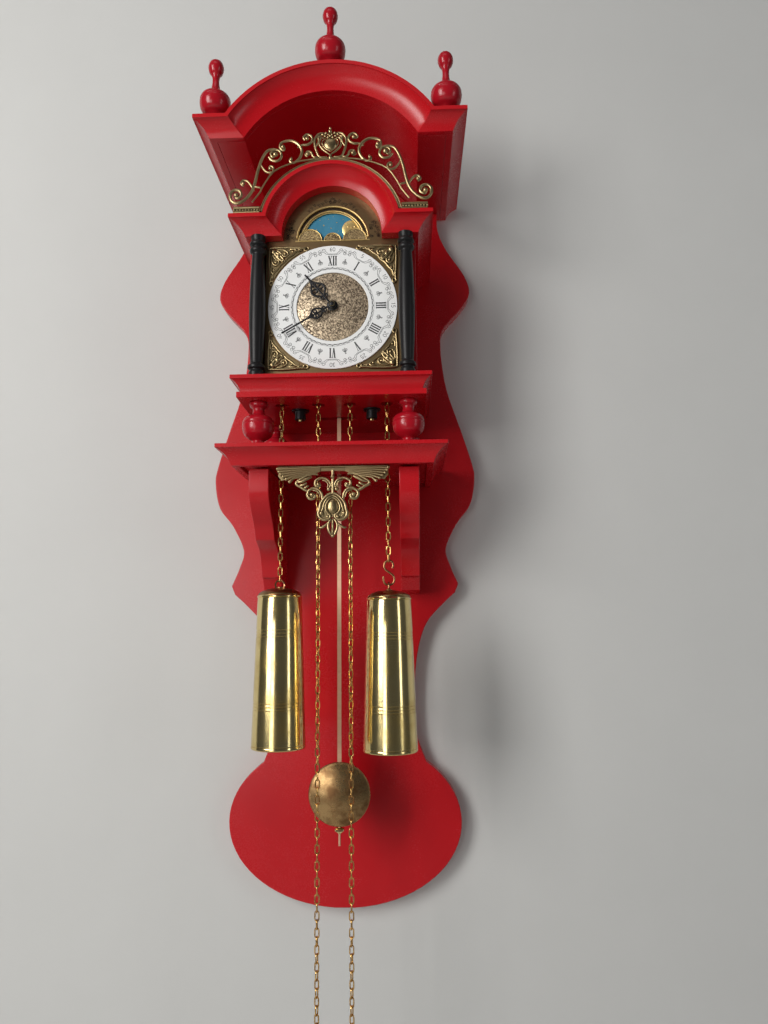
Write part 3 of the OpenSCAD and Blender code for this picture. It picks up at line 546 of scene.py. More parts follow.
def object_of(name, mesh, material):
    thing = bpy.data.objects.new(name, mesh)
    bpy.context.scene.collection.objects.link(thing)
    mesh.materials.append(material)
    return thing


def finish_mesh(mesh, sharp):
    mesh.shade_smooth()
    mesh.set_sharp_from_angle(angle=math.radians(sharp))
    mesh.update()


def round_edges(thing, width):
    """Rounds the crisp edges as sanding and paint do."""
    bevel = thing.modifiers.new("rounded", "BEVEL")
    bevel.width = width * MM
    bevel.segments = 2
    bevel.limit_method = "ANGLE"
    bevel.angle_limit = math.radians(32)
    bevel.harden_normals = True
    bevel.use_clamp_overlap = True


def softened(node, body, material, width):
    """A copy of a CAD piece with its flat faces whole and its edges rounded, which replaces it."""
    made = bmesh.new()
    made.from_mesh(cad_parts[node].data)
    bmesh.ops.remove_doubles(made, verts=made.verts[:], dist=0.00002)
    bmesh.ops.dissolve_limit(made, angle_limit=math.radians(0.8), verts=made.verts[:], edges=made.edges[:])
    mesh = bpy.data.meshes.new(node + "_finished")
    made.to_mesh(mesh)
    made.free()
    finish_mesh(mesh, 32)
    thing = object_of(node + "_finished", mesh, material)
    round_edges(thing, width)
    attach(thing, body)
    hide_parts(node)


def coat(nodes, material):
    """Gives CAD nodes whose shape stays a finish."""
    for node in nodes:
        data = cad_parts[node].data
        data.materials.clear()
        data.materials.append(material)


# ---- Woodwork ----
def make_joinery():
    for node, width in (("backboard", 1.6), ("console_shelf", 0.6), ("console_moulding", 0.6),
                        ("bracket_left", 0.9), ("bracket_right", 0.9), ("seat_board", 0.7),
                        ("seat_moulding", 0.6), ("case_side_left", 0.6), ("case_side_right", 0.6),
                        ("case_vault", 0.6), ("case_cornice", 0.6), ("hood_vault", 0.6),
                        ("hood_cornice", 0.7)):
        softened(node, "case", RED, width)


def turned_piece(node, profile, material, slot):
    """A lathe-turned piece that stands in the middle of a CAD node; heights are shares of its height."""
    at = Span(node)
    reach = (at.w + at.d) / 4
    curve = smooth_path([(r * reach, z * at.h) for r, z in profile], 5)
    curve = [(0, curve[0][1]), *curve, (0, curve[-1][1])]
    Shape().lathe(curve, (at.x, at.y, at.z0)).piece(node + "_turned", "case", material, [node], slot, 50)


def make_turnings():
    leg = [(0.46, 0), (0.52, 0.015), (0.52, 0.05), (0.44, 0.07), (0.38, 0.10), (0.40, 0.15), (0.62, 0.20),
           (0.86, 0.28), (0.97, 0.38), (1.0, 0.47), (1.0, 0.50), (0.955, 0.515), (0.985, 0.535), (0.97, 0.58),
           (0.84, 0.65), (0.60, 0.70), (0.42, 0.74), (0.36, 0.80), (0.37, 0.86), (0.50, 0.90), (0.56, 0.93),
           (0.56, 0.985), (0.50, 1)]
    for node in ("leg_front_left", "leg_front_right", "leg_rear_left", "leg_rear_right"):
        turned_piece(node, leg, RED_TURNED, "red_turned")
    finial = [(0.50, 0), (0.50, 0.015), (0.36, 0.035), (0.34, 0.06), (0.50, 0.085), (0.78, 0.12),
              (0.94, 0.18), (1.0, 0.25), (1.0, 0.30), (0.965, 0.312), (0.985, 0.325), (0.90, 0.375),
              (0.70, 0.42), (0.52, 0.45), (0.36, 0.475), (0.28, 0.53), (0.225, 0.62), (0.235, 0.70),
              (0.30, 0.745), (0.43, 0.79), (0.50, 0.85), (0.49, 0.90), (0.40, 0.955), (0.22, 0.99), (0.05, 1)]
    for node in ("finial_left", "finial_right", "finial_centre"):
        turned_piece(node, finial, RED_TURNED, "red_turned")
    column = [(0.88, 0), (0.90, 0.03), (0.82, 0.04), (0.78, 0.052), (0.98, 0.06), (1.0, 0.072), (0.96, 0.082),
              (0.78, 0.09), (0.72, 0.10), (0.74, 0.12), (0.86, 0.25), (0.94, 0.42), (0.93, 0.55),
              (0.84, 0.72), (0.72, 0.85), (0.70, 0.865), (0.74, 0.875), (0.94, 0.885), (0.99, 0.897),
              (0.94, 0.909), (0.74, 0.918), (0.76, 0.925), (0.95, 0.934), (0.99, 0.944), (0.93, 0.955),
              (0.76, 0.963), (0.82, 0.975), (0.88, 1)]
    for node in ("column_left", "column_right"):
        turned_piece(node, column, EBONY, "ebony")


# ---- Pierced brass mounts ----
def pendant_half():
    """The right half of the mount under the console; x from its middle, z down from its top."""
    half = Shape()
    for k in range(6):
        end = (48.2 - 0.9 * k - 0.25 * k * k, -2.4 - 2.3 * k)
        half.tube([(end[0], -0.3, end[1]), (34, -0.3, -2 - 1.75 * k), (20, 0, -1.8 - 1.3 * k),
                   (11, 0, -1.6 - 0.6 * k)],
                  lambda t: 1.35 - 0.6 * t, 8)
        half.ball((end[0], -0.4, end[1]), 1.6, 0.8)
    half.vine([(13, -7.6), (19.6, -7.2), (24.3, -9.7), (30.9, -13.9), (31.6, -16.4), (27.6, -18.8),
               (24.2, -21.2), (20.3, -22.2)], 0, 1.3, 0.8, 0.3)
    half.vine([(30.5, -14.4), (26.6, -13.8), (22.7, -11.6), (18, -9.6)], -0.3, 1.4)
    half.vine([(28.6, -17.4), (25, -16.6), (22.5, -15)], -0.3, 1.2)
    half.vine([(25, -20), (22.6, -18.6), (20.6, -17.4)], -0.3, 1.0)
    half.vine([(3.6, -20.9), (1.8, -17.2), (3.6, -13.4), (7.1, -11.2), (11, -11.1), (14.6, -13.2),
               (15.4, -16.4), (13.6, -18.6), (11.2, -17.8), (11.7, -15.2)], 0, 1.2, 0.8, 0.35)
    half.vine([(4.8, -20), (4, -16.8), (6, -13.8), (9, -13)], -0.5, 0.7)
    half.ball((3.4, -0.5, -21), 1.9, 0.8)
    half.ball((12.6, -0.5, -16.6), 1.7, 0.8)
    half.vine([(9.2, -31), (9.2, -27), (10.4, -23.4), (13.3, -20.6), (17.2, -20), (20.9, -22.2), (22, -25.7),
               (19.9, -29), (16.4, -28.6), (15.5, -26.2), (17.8, -24.8)], 0, 1.4, 0.8, 0.25)
    half.vine([(10.8, -28), (11.8, -24.6), (14.2, -22.4), (17, -22)], -0.5, 0.7)
    half.ball((18, -0.5, -25.8), 2.3, 0.8)
    half.vine([(0, -24), (4, -25.8), (7.9, -29.5), (10.6, -33.7), (11.5, -38.4), (12.5, -42), (11.1, -45.6),
               (7.1, -47.6), (3.2, -46.5), (2, -44), (4.4, -42.8)], 0, 1.5, 0.9, 0.2)
    half.vine([(0, -26.4), (3.6, -28.2), (7, -32.4), (8.4, -37), (9.4, -41.6), (7.6, -44.6)], -0.5, 0.9)
    half.vine([(0, -28.6), (3, -30), (5.6, -33.8), (6.2, -38), (4.6, -41.8), (1.6, -43)], -0.7, 0.8)
    half.ball((9.6, -0.8, -42), 1.9, 0.7)
    half.ball((4.4, -0.8, -45), 1.6, 0.7)
    half.vine([(2, -48.6), (5.5, -51.8), (9.4, -54.4), (12, -54.2)], 0, 1.1, 0.8, 0.8)
    half.vine([(1.2, -47), (3.8, -51), (3.6, -56), (0.9, -61.6)], 0, 1.3)
    half.vine([(0, -46.4), (0, -54), (0, -61.8)], -0.5, 1.2)
    return half


def make_pendant():
    at = Span("pendant_fretwork")
    whole = Shape()
    half = pendant_half().moved(0, at.y, at.z1)
    whole.join(half).join(half, x=-1)
    back = [(-48, -0.2), (48, -0.2), (47.6, -9), (45, -12.6), (26, -7.8), (12, -4.6), (-12, -4.6),
            (-26, -7.8), (-45, -12.6), (-47.6, -9)]
    whole.slab([(q[0], at.z1 + q[1]) for q in back], at.y1, at.y1 - 1.6)
    plaque = [(0, -25), (7, -30.5), (10.5, -37), (11.6, -43), (7, -47), (0, -45.5)]
    outline = smooth_path(plaque + [(-q[0], q[1]) for q in plaque[4:0:-1]], 4, True)
    whole.slab([(q[0], at.z1 + q[1]) for q in outline], at.y + 1.2, at.y + 0.2)
    whole.tube([(-48, at.y - 0.2, at.z1 - 1), (48, at.y - 0.2, at.z1 - 1)], 0.9)
    boss = Shape()
    rings = 7
    for k in range(rings):
        a = math.radians(90 * k / (rings - 1))
        size, lift = math.cos(a), math.sin(a)
        for j in range(28):
            t = TAU * j / 28
            x = 4.9 * size * math.sin(t) * (1 - 0.16 * math.cos(t))
            boss.verts.append((x, at.y - 0.2 - 2 * lift, at.z1 - 36 + 6.4 * size * math.cos(t)))
    boss.faces = [(28 * k + j, 28 * k + (j + 1) % 28, 28 * k + 28 + (j + 1) % 28, 28 * k + 28 + j)
                  for k in range(rings - 1) for j in range(28)]
    boss.faces.append(tuple(range(28)))
    whole.join(boss)
    whole.vine([(0, at.z1 - 4), (0, at.z1 - 12), (0, at.z1 - 20), (0, at.z1 - 25)], at.y, 1.5, 0.9, 0)
    whole.ball((0, at.y - 0.6, at.z1 - 10), 2)
    whole.ball((0, at.y - 0.6, at.z1 - 61.8), 1.6)
    whole.piece("pendant_mount", "case", ANTIQUE, ["pendant_fretwork"], "antique_brass", 50)


def crest_half():
    """The right half of the mount on the case's arch; z is measured from the arch's top."""
    half = Shape()
    rail = [(0, 3.4), (9.7, 3.2), (20.8, 2.3), (34.4, -0.3), (51, -8), (60.7, -22.4), (63.1, -27.6),
            (70, -37)]
    half.vine(rail, -0.3, 0.85, 1, 0, 3)
    half.vine([(3, 5), (9.7, 5.3), (12.4, 10.5), (14, 16.9), (13.9, 23), (11, 27.2), (7, 28.4),
               (4.5, 26.5)], 0, 1.25)
    half.vine([(13, 15), (10.5, 20), (10.8, 24), (8, 25.5)], -0.5, 1.1)
    half.vine([(0, 6.8), (5, 10.5), (9, 15), (9.8, 20), (8, 23.5), (5.5, 23)], -0.4, 1.1)
    half.vine([(0, 9.6), (4, 12.6), (6.9, 16.5), (7, 20), (5, 22), (2, 21.5)], -0.8, 0.6)
    for x, z, r in ((2.2, 23.4, 1.3), (4.7, 24.6, 1.4), (7, 26.3, 1.5), (4, 27.4, 1.5), (1.6, 26, 1.2)):
        half.ball((x, -1, z), r, 0.8)
    half.vine([(9.9, 5.6), (14, 4.8), (16.1, 6.9), (17.4, 9.9), (20.8, 10.6), (22.6, 7.6),
               (20.5, 5.6)], 0, 1.15)
    half.vine([(30, 15), (25.8, 17.3), (20.9, 17.5), (16.9, 20.4), (16.9, 25.1), (20.9, 27.6), (24.4, 24.9),
               (22.8, 22)], 0, 1.3)
    half.vine([(41.3, 15.5), (42.2, 12.7), (45.1, 14.6), (45.1, 19.3), (40.8, 21.5), (34.6, 21.7),
               (28.9, 18.1), (25.8, 11.9), (27, 5.9), (30.7, 1.3), (34.4, 0.1), (36.8, 2.9),
               (34.8, 5.3)], 0, 1.35, 0.8, 0.3)
    half.vine([(49.3, 7.7), (52.4, 6.3), (53.7, 10.2), (50, 13.1), (45.6, 11.6), (44.3, 6.5), (47.4, 2.6),
               (52.4, 3.0), (55.8, 6.5)], 0, 1.3, 0.8, 0.3)
    half.vine([(44.6, 12.5), (51.9, 13.9), (57.6, 12), (62, 4.4), (65.3, -6.2), (67.8, -18.2), (71.1, -27.4),
               (77.2, -34.5), (83.9, -37.6), (88.9, -34.8), (89.9, -28.8), (86.6, -24.9), (81.7, -25.7),
               (80, -30.4), (83.4, -32.9), (85.6, -30.4)], 0, 1.5, 0.8, 0.2)
    half.vine([(63, 0.4), (61, -4), (57.2, -8.1), (52.2, -8.3), (51.4, -4), (54.2, -2.3),
               (55.6, -4.9)], 0, 1.15)
    half.vine([(68.3, -26), (71.9, -20), (75, -16.3), (78.7, -15.8), (80.2, -19.1), (78, -21.2)], 0, 1.2)
    half.vine([(62, -23.5), (65, -22.6), (68.5, -22)], 0, 1.0)
    for x, z, r in ((20.4, 7.9, 2), (21, 23.4, 2), (42.9, 15.8, 2.1), (35.4, 3.3, 1.7), (49.6, 8.6, 2.6),
                    (54.2, -5, 1.7), (84.6, -30.2, 2.4), (78.2, -19, 1.7)):
        half.ball((x, -0.5, z), r, 0.8)
    return half


def make_crest():
    """Scrollwork on the case's arch: a crowned heart in the middle and vines to both ends."""
    at = Span("crest_fretwork")
    arch = 62
    whole = Shape()
    half = crest_half()
    for out, r in ((1.2, 1.3), (3.1, 0.55)):
        bow = (round_at(arch + out, 90 - a) for a in range(0, 80, 4))
        half.tube([(x, -0.4, z - arch) for x, z in bow], r)
    base = at.z0 - CORNICE.z1
    half.slab([(63.6, base), (at.x1 - 3, base), (at.x1 - 3, base + 6.8), (63.6, base + 6.8)], 1, -0.6)
    for row in (1.3, 5.6):
        half.tube([(63.2, -0.9, base + row), (at.x1 - 2.6, -0.9, base + row)], 1.3)
    for k in range(9):
        half.ball((65 + 2.6 * k, -0.8, base + 3.5), 1.05)
    half = half.moved(0, at.y, CORNICE.z1)
    whole.join(half).join(half, x=-1)
    top = CORNICE.z1
    whole.ball((0, at.y - 0.4, top + 17.2), 6.2, 0.32, 32)
    whole.ball((0, at.y - 1, top + 28.6), 2.2)
    whole.ball((0, at.y - 1, top + 31.9), 1.5)
    whole.ball((0, at.y - 1, top + 24.6), 1.7)
    whole.vine([(0, top + 2), (0, top + 7.5)], at.y, 1.8)
    whole.piece("crest_mount", "case", ANTIQUE, ["crest_fretwork"], "antique_brass", 50)


# ---- Dial ----
def ribbon(points, width, depth, face):
    """A flat line of even width on a dial, a hair proud of its face."""
    line = Shape()
    p = [Vector((q[0], 0, q[1])) for q in points]
    verts = []
    for i in range(len(p)):
        ahead = (p[min(i + 1, len(p) - 1)] - p[max(i - 1, 0)]).normalized()
        side = Vector((ahead.z, 0, -ahead.x)) * width / 2
        for off, y in ((side, face - depth), (-side, face - depth), (-side, face + 0.1), (side, face + 0.1)):
            q = p[i] + off
            verts.append((q.x, y, q.z))
    faces = [(4 * i + k, 4 * i + (k + 1) % 4, 4 * i + 4 + (k + 1) % 4, 4 * i + 4 + k)
             for i in range(len(p) - 1) for k in range(4)]
    end = 4 * (len(p) - 1)
    faces += [(0, 1, 2, 3), (end, end + 1, end + 2, end + 3)]
    return line.add(verts, faces)


def ring_line(radius, width, face, wave=0.0, count=0):
    """A printed circle, which may ripple in and out count times."""
    steps = 144 if not count else count * 8
    points = [((radius + wave * math.cos(count * TAU * k / steps)) * math.sin(TAU * k / steps),
               (radius + wave * math.cos(count * TAU * k / steps)) * math.cos(TAU * k / steps))
              for k in range(steps + 1)]
    return ribbon(points, width, 0.08, face)


def roman(text, height, face):
    """A Roman numeral with thick and thin strokes and serifs, centred on the origin."""
    widths = {"I": 1.9, "V": 3.7, "X": 3.8}
    total = sum(widths[c] for c in text) + 0.25 * (len(text) - 1)
    numeral = Shape()
    x = -total / 2
    low, high = -height / 2, height / 2
    for c in text:
        w = widths[c]
        middle = x + w / 2
        if c == "I":
            strokes = [((middle, low), (middle, high), 1.15)]
            feet = [(middle, low, 1.9), (middle, high, 1.9)]
        elif c == "V":
            strokes = [((x + 0.8, high), (middle, low), 1.15), ((x + w - 0.6, high), (middle, low), 0.4)]
            feet = [(x + 0.8, high, 1.7), (x + w - 0.6, high, 1.3)]
        else:
            strokes = [((x + 0.7, high), (x + w - 0.7, low), 1.15),
                       ((x + w - 0.6, high), (x + 0.6, low), 0.4)]
            feet = [(x + 0.8, high, 1.6), (x + w - 0.7, high, 1.3), (x + 0.7, low, 1.3),
                    (x + w - 0.8, low, 1.6)]
        for a, b, thick in strokes:
            numeral.join(ribbon([a, b], thick, 0.1, face))
        for fx, fz, fw in feet:
            numeral.join(ribbon([(fx - fw / 2, fz), (fx + fw / 2, fz)], 0.42, 0.11, face))
        x += w + 0.25
    return numeral


DIGITS = {
    "0": [[(0.5, 1), (0.1, 0.8), (0.05, 0.5), (0.1, 0.2), (0.5, 0), (0.9, 0.2), (0.95, 0.5), (0.9, 0.8),
           (0.5, 1)]],
    "1": [[(0.25, 0.8), (0.55, 1), (0.55, 0)]],
    "2": [[(0.1, 0.8), (0.45, 1), (0.85, 0.8), (0.7, 0.5), (0.1, 0.02), (0.95, 0.02)]],
    "3": [[(0.1, 0.88), (0.5, 1), (0.85, 0.78), (0.45, 0.53), (0.9, 0.28), (0.5, 0), (0.08, 0.12)]],
    "4": [[(0.7, 0), (0.7, 1), (0.05, 0.3), (0.98, 0.3)]],
    "5": [[(0.85, 1), (0.25, 1), (0.15, 0.55), (0.6, 0.62), (0.9, 0.33), (0.55, 0), (0.1, 0.1)]],
    "6": [[(0.8, 0.95), (0.35, 0.8), (0.1, 0.35), (0.45, 0), (0.88, 0.25), (0.55, 0.55), (0.15, 0.35)]],
}


def figure(text, height, face):
    """A minute figure, centred on the origin."""
    wide = height * 0.62
    step = wide * 1.22
    made = Shape()
    for k, c in enumerate(text):
        left = (k - len(text) / 2) * step + (step - wide) / 2
        for stroke in DIGITS[c]:
            curve = stroke if c in "14" else smooth_path(stroke, 3)
            made.join(ribbon([(left + q[0] * wide, (q[1] - 0.5) * height) for q in curve], 0.36, 0.08, face))
    return made


def half_hour_mark(face):
    """A small printed flower between two hours."""
    mark = Shape()
    for side in (-1, 1):
        for bend in (0.8, 1.7, 2.5):
            mark.join(ribbon(smooth_path([(0.1 * side, 2.4 - bend), (side * bend * 0.8, 1.7 - bend * 0.8),
                                          (side * bend * 0.72, 0.7 - bend), (side * 0.3, -0.2 - bend * 0.6)],
                                          3),
                             0.3, 0.07, face))
    mark.join(ribbon([(0, -3), (0, 2.9)], 0.3, 0.07, face))
    mark.join(ribbon([(-0.7, 2.4), (0.7, 2.4)], 0.5, 0.07, face))
    return mark


def minute_scroll(face):
    """The printed border over one hour's space: a bracket under the figure and curls beside it."""
    scroll = Shape()
    for side in (-1, 1):
        lines = [[(0, 50.2), (3.4, 50.2), (4.6, 51), (6.2, 52.6), (8.4, 53.4), (10.4, 52.8), (12.2, 51.2)],
                 [(3.4, 49.5), (5.6, 50), (7.6, 51.7), (10, 51.8), (13, 49.6)],
                 [(13, 51.2), (11.2, 51.6), (10, 50.4), (10.6, 49), (12, 49.2), (12, 50.3)],
                 [(6.2, 53.4), (7, 54.6), (8.6, 54.9), (9.4, 53.9), (8.6, 53.2)],
                 [(11, 54), (12.4, 53.2), (13.2, 51.8)]]
        for line in lines:
            scroll.join(ribbon(smooth_path([(side * q[0], q[1]) for q in line], 3), 0.32, 0.07, face))
    scroll.join(ribbon([(-3.4, 49.4), (3.4, 49.4)], 0.3, 0.07, face))
    return scroll


def make_dial():
    face = RING.y0
    x, z = RING.x, RING.z
    rim = RING.w / 2
    inner = Span("dial_centre").w / 2
    bright = [(rim - 1.2, face + 1.2), (rim - 0.25, face + 1.2), (rim, face + 0.9), (rim, face + 0.35),
              (rim - 0.3, face)]
    ring = Shape()
    steps = 160
    profile = bright + [(inner + 0.7, face), (inner + 0.35, face + 0.25), (inner + 0.35, face + 1.2)]
    verts = [(x + r * math.sin(TAU * k / steps), y, z + r * math.cos(TAU * k / steps))
             for r, y in profile for k in range(steps)]
    rows = len(profile)
    faces = [(i * steps + k, i * steps + (k + 1) % steps, ((i + 1) % rows) * steps + (k + 1) % steps,
              ((i + 1) % rows) * steps + k) for i in range(rows) for k in range(steps)]
    ring.add(verts, faces)
    ring.piece("hour_ring", "case", WHITE, ["chapter_ring"], "dial_white")
    print_work = Shape()
    hours = ("XII", "I", "II", "III", "IIII", "V", "VI", "VII", "VIII", "IX", "X", "XI")
    for k, text in enumerate(hours):
        turn = 30 * k
        across, up = round_at(43.6, 90 - turn)
        print_work.join(roman(text, 8.8, face).moved(x + across, 0, z + up, turn))
        across, up = round_at(54.6, 90 - turn)
        minute = str(5 * k) if k else "60"
        print_work.join(figure(minute, 3.5, face).moved(x + across, 0, z + up, turn))
        print_work.join(minute_scroll(face).moved(x, 0, z, turn))
        across, up = round_at(43.4, 75 - turn)
        print_work.join(half_hour_mark(face).moved(x + across, 0, z + up, turn + 15))
        print_work.join(ribbon([(0, 36.2), (0, 37.6)], 0.35, 0.07, face).moved(x, 0, z, turn))
    for radius, width, wave, count in ((35.6, 0.22, 0, 0), (36.3, 0.5, 0.35, 48), (37.4, 0.2, 0, 0)):
        print_work.join(ring_line(radius, width, face, wave, count).moved(x, 0, z))
    print_work.piece("dial_printing", "case", INK, (), None, 30)
    centre = Span("dial_centre")
    matt = Shape().dish([(0, centre.y0), (inner - 0.6, centre.y0), (inner - 0.1, centre.y0 + 0.3),
                         (inner - 0.1, centre.y1), (0, centre.y1)], (x, 0, z), 96)
    matt.piece("dial_centre_matted", "case", MATTING, ["dial_centre"], "dial_matting")
    make_arch_engraving()
    make_spandrels()


def make_arch_engraving():
    """Dark etched scrolls on the dial's arch, the raised rim of the moon's opening and its three lobes."""
    face = DIAL.y0
    base = CORNICE.z0
    etched = Shape()
    random.seed(11)

    def curl(x, z, r, way, turn):
        """One small etched leaf scroll."""
        points = [(x + q[0], z + q[1]) for q in spiral(r, r * 0.25, turn, turn + way * 400, 12)]
        etched.join(ribbon(points, 0.42, 0.06, face))

    for side in (-1, 1):
        for k in range(7):
            a = math.radians(3 + 5.6 * k)
            out = 37.2 + 1.2 * math.sin(k * 1.9)
            curl(side * out * math.sin(a), base + out * math.cos(a), 1.7 - 0.1 * k, side * (-1) ** k, 90 * k)
            etched.join(ribbon([(side * (out - 2) * math.sin(a), base + (out - 2) * math.cos(a)),
                                (side * (out + 1.6) * math.sin(a + 0.05),
                                 base + (out + 1.6) * math.cos(a + 0.05))],
                               0.35, 0.06, face))
        for k in range(26):
            x = side * random.uniform(34.5, 42.5)
            z = base + random.uniform(2, 21 - abs(abs(x) - 36) * 1.1)
            curl(x, z, random.uniform(0.9, 1.9), random.choice((-1, 1)), random.uniform(0, 360))
    for k in range(8):
        a = TAU * k / 8
        curl(2.1 * math.cos(a), base + 38.4 + 2.1 * math.sin(a), 1.1, 1, 45 * k)
    etched.piece("arch_engraving", "case", ETCHED, (), None, 30)
    frame_ring = Shape()
    for r, wire in ((32.6, 0.9), (28.6, 0.8), (26.9, 0.55)):
        y = face - 0.2 if r > 31 else face + 0.9
        bow = (round_at(r, a) for a in range(4, 177, 4))
        frame_ring.tube([(q[0], y, base + q[1]) for q in bow], wire, 8)
    recess = [round_at(r, a) for r, order in ((32, range(0, 181, 5)),
                                              (27, range(180, -1, -5))) for a in order]
    for s, r, drop in LOBES:
        bow = (round_at(r - 0.5, a) for a in range(0, 181, 10))
        frame_ring.tube([(s * LOBE_OUT + q[0], face - 0.1, base - drop + q[1]) for q in bow], 0.6, 8)
    frame_ring.tube([(-34, face - 0.1, base - 0.6), (34, face - 0.1, base - 0.6)], 0.55, 8)
    frame_ring.piece("moon_window_rim", "case", GOLD, (), None, 50)
    groove = Shape().slab([(q[0], base + q[1]) for q in recess], face + 2, face + 1.2)
    groove.piece("moon_window_recess", "case", ETCHED, (), None)
    lobes = Shape()
    for s, r, drop in LOBES:
        bow = (round_at(r - 0.9, a) for a in range(0, 181, 10))
        lobes.slab([(s * LOBE_OUT + q[0], base - drop + 0.3 + q[1]) for q in bow], face + 0.2, face - 0.15)
    lobes.piece("moon_lobes", "case", ENGRAVED, (), None)


def spandrel_corner():
    """A cast leaf corner; x and z run from the dial's corner along its two edges."""
    reach = DIAL.w / 2
    clear = RING.w / 2 + 1.6
    arc = [(reach - q[0], reach - q[1]) for q in (round_at(clear, a) for a in range(28, 64, 4))]
    corner = Shape()
    corner.slab([(3.2, 3.2), (30, 4), *reversed(arc), (4, 30)], 0, -0.7)
    for flip in (False, True):
        side = Shape()

        def vine(points, r, lift=-0.9, taper=0.4):
            """A relief scroll, along the other edge when flipped."""
            side.vine([(q[1], q[0]) if flip else q for q in points], lift, r, 1.0, taper, 4)

        def knob(x, z, r, lift=-1.1):
            side.ball((z, lift, x) if flip else (x, lift, z), r, 0.8)

        vine([(3.4, 3.4), (12, 3), (24, 3.3), (33, 4), (37.5, 3.2)], 1.3)
        vine([(37.8, 3.4), (39, 5), (37.4, 6.8), (35, 6), (35.6, 4.4)], 1.0)
        vine([(33, 5.6), (28, 6.6), (24, 10), (19.6, 13.2), (17, 17)], 1.2)
        vine([(11, 5), (16, 5.4), (20, 8), (19, 11.4), (15.6, 11.4), (15.2, 8.8), (17.2, 8.4)], 1.1)
        vine([(22, 5.2), (26, 5), (28.6, 6.6)], 1.2)
        vine([(6, 6), (10, 8.4), (14.5, 12.4), (17.2, 16.2)], 1.5, -1.4)
        vine([(8, 5), (12.5, 7.6), (15, 10)], 1.0, -1.2)
        knob(17.3, 9.2, 1.5)
        knob(24.6, 7.4, 1.2)
        knob(30.4, 5.3, 1.1)
        knob(7.4, 4.8, 1.3)
        knob(12.4, 13.8, 1.3)
        corner.join(side)
    corner.ball((7.4, -1.4, 7.4), 3.1, 0.6, 20)
    corner.ball((11.6, -1.7, 11.6), 2.2, 0.7, 16)
    corner.ball((15.6, -1.4, 15.6), 1.6, 0.8, 16)
    return corner


def make_spandrels():
    corner = spandrel_corner()
    whole = Shape()
    for x in (-1, 1):
        for z in (-1, 1):
            placed = Shape().add([(x * (DIAL.w / 2 - v[0]), DIAL.y0 + v[1] * 0.9,
                                   RING.z + z * (DIAL.w / 2 - v[2]))
                                  for v in corner.verts], corner.faces)
            whole.join(placed)
    whole.piece("corner_mounts", "case", ANTIQUE, ["spandrels"], "antique_brass", 50)


def make_moon():
    """The sky disc, with gilt stars and two moons; a lobe hides the lower part of one."""
    at = Span("moon_disc")
    face = at.y0
    sky = Shape().dish([(0, face), (at.w / 2 - 0.3, face), (at.w / 2, face + 0.3), (at.w / 2, at.y1 - 0.9),
                        (0, at.y1 - 0.9)], (at.x, 0, at.z), 96)
    sky.piece("sky_disc", "moon", SKY, ["moon_disc"], "moon_blue")
    gilt = Shape()
    stars = ((-8.5, 20, 1), (3.5, 22.5, 0.8), (-1.8, 17.2, 0.9), (9.5, 25.3, 0.7), (-15, 15.5, 0.8),
             (-4, 26, 0.6), (-12, 25, 0.6), (5, 14, 0.6), (0.5, 28.5, 0.5))
    for x, z, r in stars:
        for sx in (1, -1):
            star = (round_at(r * (1 if k % 2 else 0.4), 36 * k) for k in range(10))
            gilt.slab([(sx * (x + q[0]), at.z + sx * (z + q[1])) for q in star], face + 0.05, face - 0.08)
    gilt.piece("gilt_stars", "moon", GOLD)
    moons = Shape()
    for sx in (1, -1):
        x, z = sx * 17.2, at.z + sx * 15.6
        moons.dish([(0, -0.55), (5, -0.5), (8.2, -0.3), (8.8, -0.05), (8.8, 0.05), (0, 0.05)], (x, face, z),
                   48)
        for ex in (-3, 3):
            moons.ball((x + ex * sx, face - 0.5, z + 2.2 * sx), 1, 0.5)
        moons.tube([(x - 2.8, face - 0.5, z - 3.4 * sx), (x, face - 0.7, z - 4.4 * sx),
                    (x + 2.8, face - 0.5, z - 3.4 * sx)],
                   0.45, 6)
        moons.tube([(x, face - 0.4, z + 2 * sx), (x, face - 0.9, z - 1.4 * sx)], 0.7, 6)
    moons.piece("gilt_moons", "moon", GOLD, (), None, 50)


# ---- Hands ----
def hand(length, belly, wide, stem, thick):
    """A pierced serpentine hand that points up from the origin."""
    made = Shape()
    made.vine([(0, 2), (0, belly - wide), (0, belly + wide * 1.25), (0, length)], 0, 0.8, thick, 0.0, 4)
    tip = belly + wide * 1.3
    made.slab([(-0.9, tip), (0, tip - 1.5), (0.9, tip), (0.75, (tip + length) / 2), (0.3, length),
               (-0.3, length), (-0.75, (tip + length) / 2)], 0.3, -0.3)
    for side in (-1, 1):
        for line, r in (([(0.3, stem), (wide * 0.8, belly - wide * 0.75), (wide, belly),
                          (wide * 0.62, belly + wide * 0.55), (0.2, tip)], 0.95),
                        ([(wide * 0.9, belly + 0.6), (wide * 0.55, belly + wide * 0.2), (wide * 0.2, belly),
                          (wide * 0.35, belly - wide * 0.4), (wide * 0.75, belly - wide * 0.3)], 0.75),
                        ([(0.3, stem - 1), (wide * 0.45, stem + 0.5), (wide * 0.5, stem - 1.6),
                          (0.3, stem - 2.6)], 0.7),
                        ([(0.3, belly + wide * 0.4), (wide * 0.35, belly + wide * 0.9), (0.2, tip + 1.5)],
                         0.6)):
            made.vine([(side * q[0], q[1]) for q in line], 0, r, thick, 0.2, 4)
    return made


